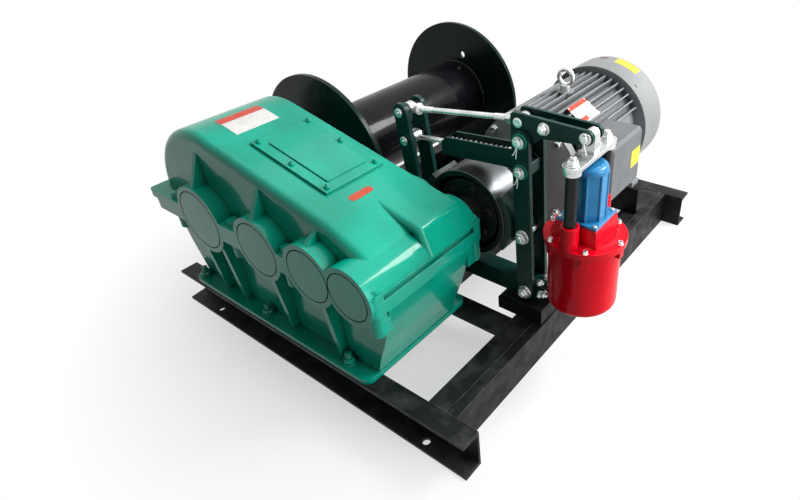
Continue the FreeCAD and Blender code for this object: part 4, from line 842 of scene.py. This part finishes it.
# ---------------------------------------------------------------- brake pieces
def right_arm_pieces():
    pin_ends = faces_of("right_arm_pins")
    bm = bmesh.new()
    for x, z in (RIGHT_TOP, RIGHT_SPRING):
        for y, out in ARM_FACES:
            washer(bm, at((x, y, z), (0, out, 0)), 17.0, 2.4)
    make("right_arm_washers", bm, "right_arm", "gearbox")
    bm = bmesh.new()
    for x, z in (RIGHT_TOP, RIGHT_SPRING):
        for y, out in pin_ends:
            lathe(bm, at((x, y, z), (0, out, 0)), [(8.0, -0.2), (8.0, 5.0), (6.4, 6.4)], 24)
        split_pin(bm, x, pin_ends[0][0] - 3.4, z, 26.0, -5.0)
    make("right_arm_pin_ends", bm, "right_arm", "zinc")
    bm = bmesh.new()
    for x, z in (RIGHT_SHOE_PIN, RIGHT_PIVOT):
        for y, out in ARM_FACES:
            aim = at((x, y, z), (0, out, 0), any_turn())
            pin_nut(bm, aim, 17.0, 25.0, 9.5, 7.5, 11.0)
    make("right_arm_nuts", bm, "right_arm", "zinc")


def left_arm_pieces():
    bm = bmesh.new()
    for x, z in (LEFT_SHOE_PIN, LEFT_PIVOT):
        for y, out in ARM_FACES:
            aim = at((x, y, z), (0, out, 0), any_turn())
            pin_nut(bm, aim, 15.0, 22.0, 8.0, 6.5, 9.5)
    riveted_end = [(9.6, -0.2), (9.6, 1.4), (5.2, 1.4), (5.0, 0.4), (4.4, 0.4), (3.6, 3.2)]
    for x, z in (LEFT_TOP, LEFT_SPRING):
        for y, out in faces_of("left_arm_pins"):
            lathe(bm, at((x, y, z), (0, out, 0)), riveted_end, 24)
    make("left_arm_nuts", bm, "left_arm", "zinc")


def lever_pieces():
    bm = bmesh.new()
    dished_end = [(10.5, -0.2), (10.5, 1.6), (8.4, 2.0), (5.4, 2.0), (5.2, 0.9), (3.2, 0.9), (3.0, 0.5)]
    for y, out in faces_of("lever_plates"):
        x, z = LEVER_BOLT
        pin_nut(bm, at((x, y, z), (0, out, 0), 0.3), 13.0, 19.0, 8.0, 6.0, 9.5)
        x, z = LEVER_TIE
        lathe(bm, at((x, y, z), (0, out, 0)), dished_end, 26)
    x, z = LEVER_END
    pin_ends = faces_of("lever_pins")
    for y, out in pin_ends:
        lathe(bm, at((x, y, z), (0, out, 0)), [(7.6, -0.2), (7.6, 5.0), (6.0, 6.4)], 24)
    split_pin(bm, x, pin_ends[0][0] - 3.6, z, 22.0, 3.0)
    make("lever_nuts_and_pins", bm, "lever", "zinc")


def rod_locknuts():
    start = Vector((LEFT_TOP[0], BRAKE_Y, LEFT_TOP[1]))
    end = Vector((LEVER_TIE[0], BRAKE_Y, LEVER_TIE[1]))
    run = (end - start).normalized()
    length = (end - start).length
    bm = bmesh.new()
    for s, way in ((26.0, 1.0), (length - 26.0, -1.0)):
        aim = at(start + run * s, run * way, 0.2)
        hexagon(bm, aim, 23.0, 12.5)
        thread(bm, lift(aim, 12.0), 7.0, 34.0, 2.0)
    make("tie_rod_locknuts", bm, "tie_rod", "zinc")


def brake_coil():
    """The brake's compression spring, drawn at one length; the real one shortens as the thruster opens
    the arms.
    """
    start = Vector((166.6, BRAKE_Y, 483.9))
    run = Vector((1.0, 0.0, 0.08)).normalized()
    side = Vector((0.0, 1.0, 0.0))
    up = side.cross(run)
    wire, coil, turns, steps = 2.2, 11.8, 12, 22
    travel = 163.2 - 2.0 * wire
    points = []
    for k in range(turns * steps + 1):
        t = k / (turns * steps)
        a = 2.0 * math.pi * turns * t
        # the turns lie a little closer together towards both ends
        along = wire + travel * (0.5 - 0.5 * math.cos(math.pi * t)) * 0.12
        along += travel * t * 0.88
        points.append(start + run * along + (up * math.cos(a) + side * math.sin(a)) * coil)
    bm = bmesh.new()
    tube(bm, points, wire, 10)
    piece = make("brake_coil_spring", bm, "box", "spring")
    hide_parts("brake_spring")
    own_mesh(piece)


# ---------------------------------------------------------------- thruster pieces
# the lifting rods stand this far in front of the thruster's axis and behind it
ROD_REACH = 68.0


def thruster_screws():
    """Cap screws round the cover's flange, and one at each corner of the motor's foot."""
    bm = bmesh.new()
    for k in range(6):
        a = math.radians(-2.0 + 60.0 * k)
        start = (THRUSTER_X + 80.0 * math.cos(a), BRAKE_Y + 80.0 * math.sin(a), 700.0)
        where, _ = hit("thruster_cover", start, (0, 0, -1))
        washer(bm, at(where), 6.4, 1.2)
        socket_screw(bm, at(where + Vector((0.0, 0.0, 1.0)), (0, 0, 1), 0.3 * k), 6.4)
    recessed = [(4.4, -0.2), (4.4, 2.0), (3.2, 3.2), (1.8, 3.2), (1.7, 1.6)]
    for sx in (-1.0, 1.0):
        for sy in (-1.0, 1.0):
            lathe(bm, at((THRUSTER_X + sx * 38.5, BRAKE_Y + sy * 38.5, 412.0)), recessed, 20)
    make("thruster_screws", bm, "thruster", "zinc")


def crosshead_nuts():
    bm = bmesh.new()
    for y in (BRAKE_Y - ROD_REACH, BRAKE_Y + ROD_REACH):
        aim = at((THRUSTER_X, y, 549.0))
        washer(bm, aim, 13.5, 1.6)
        hexagon(bm, lift(aim, 1.4), 21.0, 9.6)
        thread(bm, lift(aim, 10.5), 6.4, 7.0)
    make("crosshead_locknuts", bm, "crosshead", "zinc")


# ---------------------------------------------------------------- frame and drum pieces
# the front and the rear rail's inner faces
FRONT_FACE = span("front_rail", 1)[1]
REAR_FACE = span("rear_rail", 1)[0]
RAIL_BEAD_Z = span("front_rail", 2)[1] - 1.0


def frame_welds():
    """Beads where rails meet, along the right rail's seam, and on the middle rail's left edge."""
    bm = bmesh.new()
    # the middle rail ends short of the front rail, so its front beads join nothing
    for rail in ("left_rail", "middle_rail", "right_rail"):
        x0, x1 = span(rail, 0)
        bead(bm, (x0 + 2.0, FRONT_FACE, RAIL_BEAD_Z), (x1 - 2.0, FRONT_FACE, RAIL_BEAD_Z), 3.2)
        for x in (x0, x1):
            bead(bm, (x, FRONT_FACE + 0.5, 6.0), (x, FRONT_FACE + 0.5, 96.0), 3.0)
        bead(bm, (x0 + 2.0, REAR_FACE, RAIL_BEAD_Z), (x1 - 2.0, REAR_FACE, RAIL_BEAD_Z), 3.2)
    bead(bm, (420.0, -500.0, 99.4), (420.0, 500.0, 99.4), 2.6, 5.0)
    for y in (180.0, 380.0):
        bead(bm, (60.0, y - 25.0, 101.0), (60.0, y + 25.0, 101.0), 2.4)
    make("frame_weld_beads", bm, "frame", "frame")


BARREL_BEAD_RADIUS = 110.5


def drum_welds():
    """Beads round the barrel's ends, and a short one on the far flange."""
    bm = bmesh.new()
    near = span("drum_near_flange", 1)[1]
    far = span("drum_far_flange", 1)[0]
    for y in (near + 1.5, far - 1.5):
        round_bead(bm, DRUM_AXIS[0], DRUM_AXIS[1], BARREL_BEAD_RADIUS, y, 4.2)
    bead(bm, (-208.0, far - 1.0, 436.0), (-174.0, far - 1.0, 392.0), 3.0)
    make("drum_weld_beads", bm, "drum", "drum")


def brake_base_bolts():
    bm = bmesh.new()
    for x in (72.0, 112.0, 372.0, 418.0):
        for y in (-176.0, -148.0):
            where, _ = hit("brake_base", (x, y, 400.0), (0, 0, -1))
            bolt(bm, at(where, (0, 0, 1), any_turn()), 9.0)
    for k, x in enumerate((428.0, 440.0)):
        aim = at((x, -187.0, 176.0 + 6.0 * k), (0, -1, 0), 0.4 * k)
        stud_nut(bm, aim, 8.0, 0.8)
    make("brake_base_bolts", bm, "frame", "zinc")


# ---------------------------------------------------------------- light and floor
# the floor is darker for soft light than it looks, so that little light comes up from below
FLOOR_FOR_LIGHT = (0.25, 0.25, 0.25, 1.0)
FLOOR_SEEN = (0.94, 0.94, 0.94, 1.0)
# metres from the middle: the floor turns to plain white between these two
WHITE_FROM = 0.60
WHITE_AT = 1.05
# how much plain white there already is at the middle
WHITE_LEAST = 0.55


def area_light(name, place, target, size, power):
    data = bpy.data.lights.new(name, "AREA")
    data.shape = "RECTANGLE"
    data.size, data.size_y = size
    data.energy = power
    lamp = bpy.data.objects.new(name, data)
    bpy.context.scene.collection.objects.link(lamp)
    aim = (Vector(target) - Vector(place)).to_track_quat("-Z", "Y")
    lamp.matrix_world = Matrix.Translation(Vector(place)) @ aim.to_matrix().to_4x4()


def lights():
    area_light("overhead", (1.1, 0.45, 3.0), (1.1, 0.45, 0.0), (6.0, 2.6), 58)
    area_light("right", (3.2, 0.3, 1.2), (0.3, 0.3, 0.5), (1.6, 2.2), 58)
    # this one is mirrored by the gearbox's nose and the drum's barrel
    area_light("highlight", (1.75, 1.5, 2.1), (0.0, 0.0, 0.4), (1.3, 0.9), 80)


def seen_rays(tree):
    """One for what the camera, a mirror or glass sees, and zero for soft light."""
    path = tree.nodes.new("ShaderNodeLightPath")
    total = path.outputs["Is Camera Ray"]
    for kind in ("Is Glossy Ray", "Is Transmission Ray"):
        node = tree.nodes.new("ShaderNodeMath")
        node.operation = "MAXIMUM"
        tree.links.new(total, node.inputs[0])
        tree.links.new(path.outputs[kind], node.inputs[1])
        total = node.outputs[0]
    return total


def backdrop():
    """White where it is seen, and faint as a light."""
    scene = bpy.context.scene
    scene.view_settings.view_transform = "Standard"
    world = bpy.data.worlds.new("studio")
    world.use_nodes = True
    scene.world = world
    tree = world.node_tree
    soft = tree.nodes["Background"]
    white = tree.nodes.new("ShaderNodeBackground")
    for shader, strength in ((soft, 0.12), (white, 1.0)):
        shader.inputs["Color"].default_value = (1.0, 1.0, 1.0, 1.0)
        shader.inputs["Strength"].default_value = strength
    pick = tree.nodes.new("ShaderNodeMixShader")
    tree.links.new(seen_rays(tree), pick.inputs[0])
    tree.links.new(soft.outputs[0], pick.inputs[1])
    tree.links.new(white.outputs[0], pick.inputs[2])
    tree.links.new(pick.outputs[0], tree.nodes["World Output"].inputs["Surface"])


def floor_material():
    """Pale floor that takes the shadow near the winch and is plain white further out."""
    mat = bpy.data.materials.new("floor")
    mat.use_nodes = True
    tree = mat.node_tree
    shader = tree.nodes["Principled BSDF"]
    seen = seen_rays(tree)
    shade = tree.nodes.new("ShaderNodeMix")
    shade.data_type = "RGBA"
    shade.inputs[6].default_value = FLOOR_FOR_LIGHT
    shade.inputs[7].default_value = FLOOR_SEEN
    tree.links.new(seen, shade.inputs[0])
    tree.links.new(shade.outputs[2], shader.inputs["Base Color"])
    shader.inputs["Roughness"].default_value = 0.9
    shader.inputs["Specular IOR Level"].default_value = 0.1
    glow = tree.nodes.new("ShaderNodeEmission")
    glow.inputs["Strength"].default_value = 1.0
    coords = tree.nodes.new("ShaderNodeTexCoord")
    length = tree.nodes.new("ShaderNodeVectorMath")
    length.operation = "LENGTH"
    tree.links.new(coords.outputs["Object"], length.inputs[0])
    fade = tree.nodes.new("ShaderNodeMapRange")
    fade.inputs[1].default_value = WHITE_FROM
    fade.inputs[2].default_value = WHITE_AT
    fade.inputs[3].default_value = WHITE_LEAST
    tree.links.new(length.outputs["Value"], fade.inputs[0])
    amount = tree.nodes.new("ShaderNodeMath")
    amount.operation = "MULTIPLY"
    tree.links.new(fade.outputs[0], amount.inputs[0])
    tree.links.new(seen, amount.inputs[1])
    blend = tree.nodes.new("ShaderNodeMixShader")
    tree.links.new(amount.outputs[0], blend.inputs[0])
    tree.links.new(shader.outputs[0], blend.inputs[1])
    tree.links.new(glow.outputs[0], blend.inputs[2])
    tree.links.new(blend.outputs[0], tree.nodes["Material Output"].inputs["Surface"])
    return mat


def floor():
    bpy.ops.mesh.primitive_plane_add(size=40.0, location=(0, 0, -0.0005))
    plane = bpy.context.object
    plane.name = "floor"
    plane.data.materials.append(floor_material())


make_camera()
dress_nodes()
gearbox_bolts()
cover_screws()
gearbox_plugs()
gearbox_labels()
motor_foot_bolts()
motor_shield_bolts()
cowl_screws()
motor_labels()
motor_nameplate()
right_arm_pieces()
left_arm_pieces()
lever_pieces()
rod_locknuts()
brake_coil()
thruster_screws()
crosshead_nuts()
frame_welds()
drum_welds()
brake_base_bolts()
backdrop()
lights()
floor()
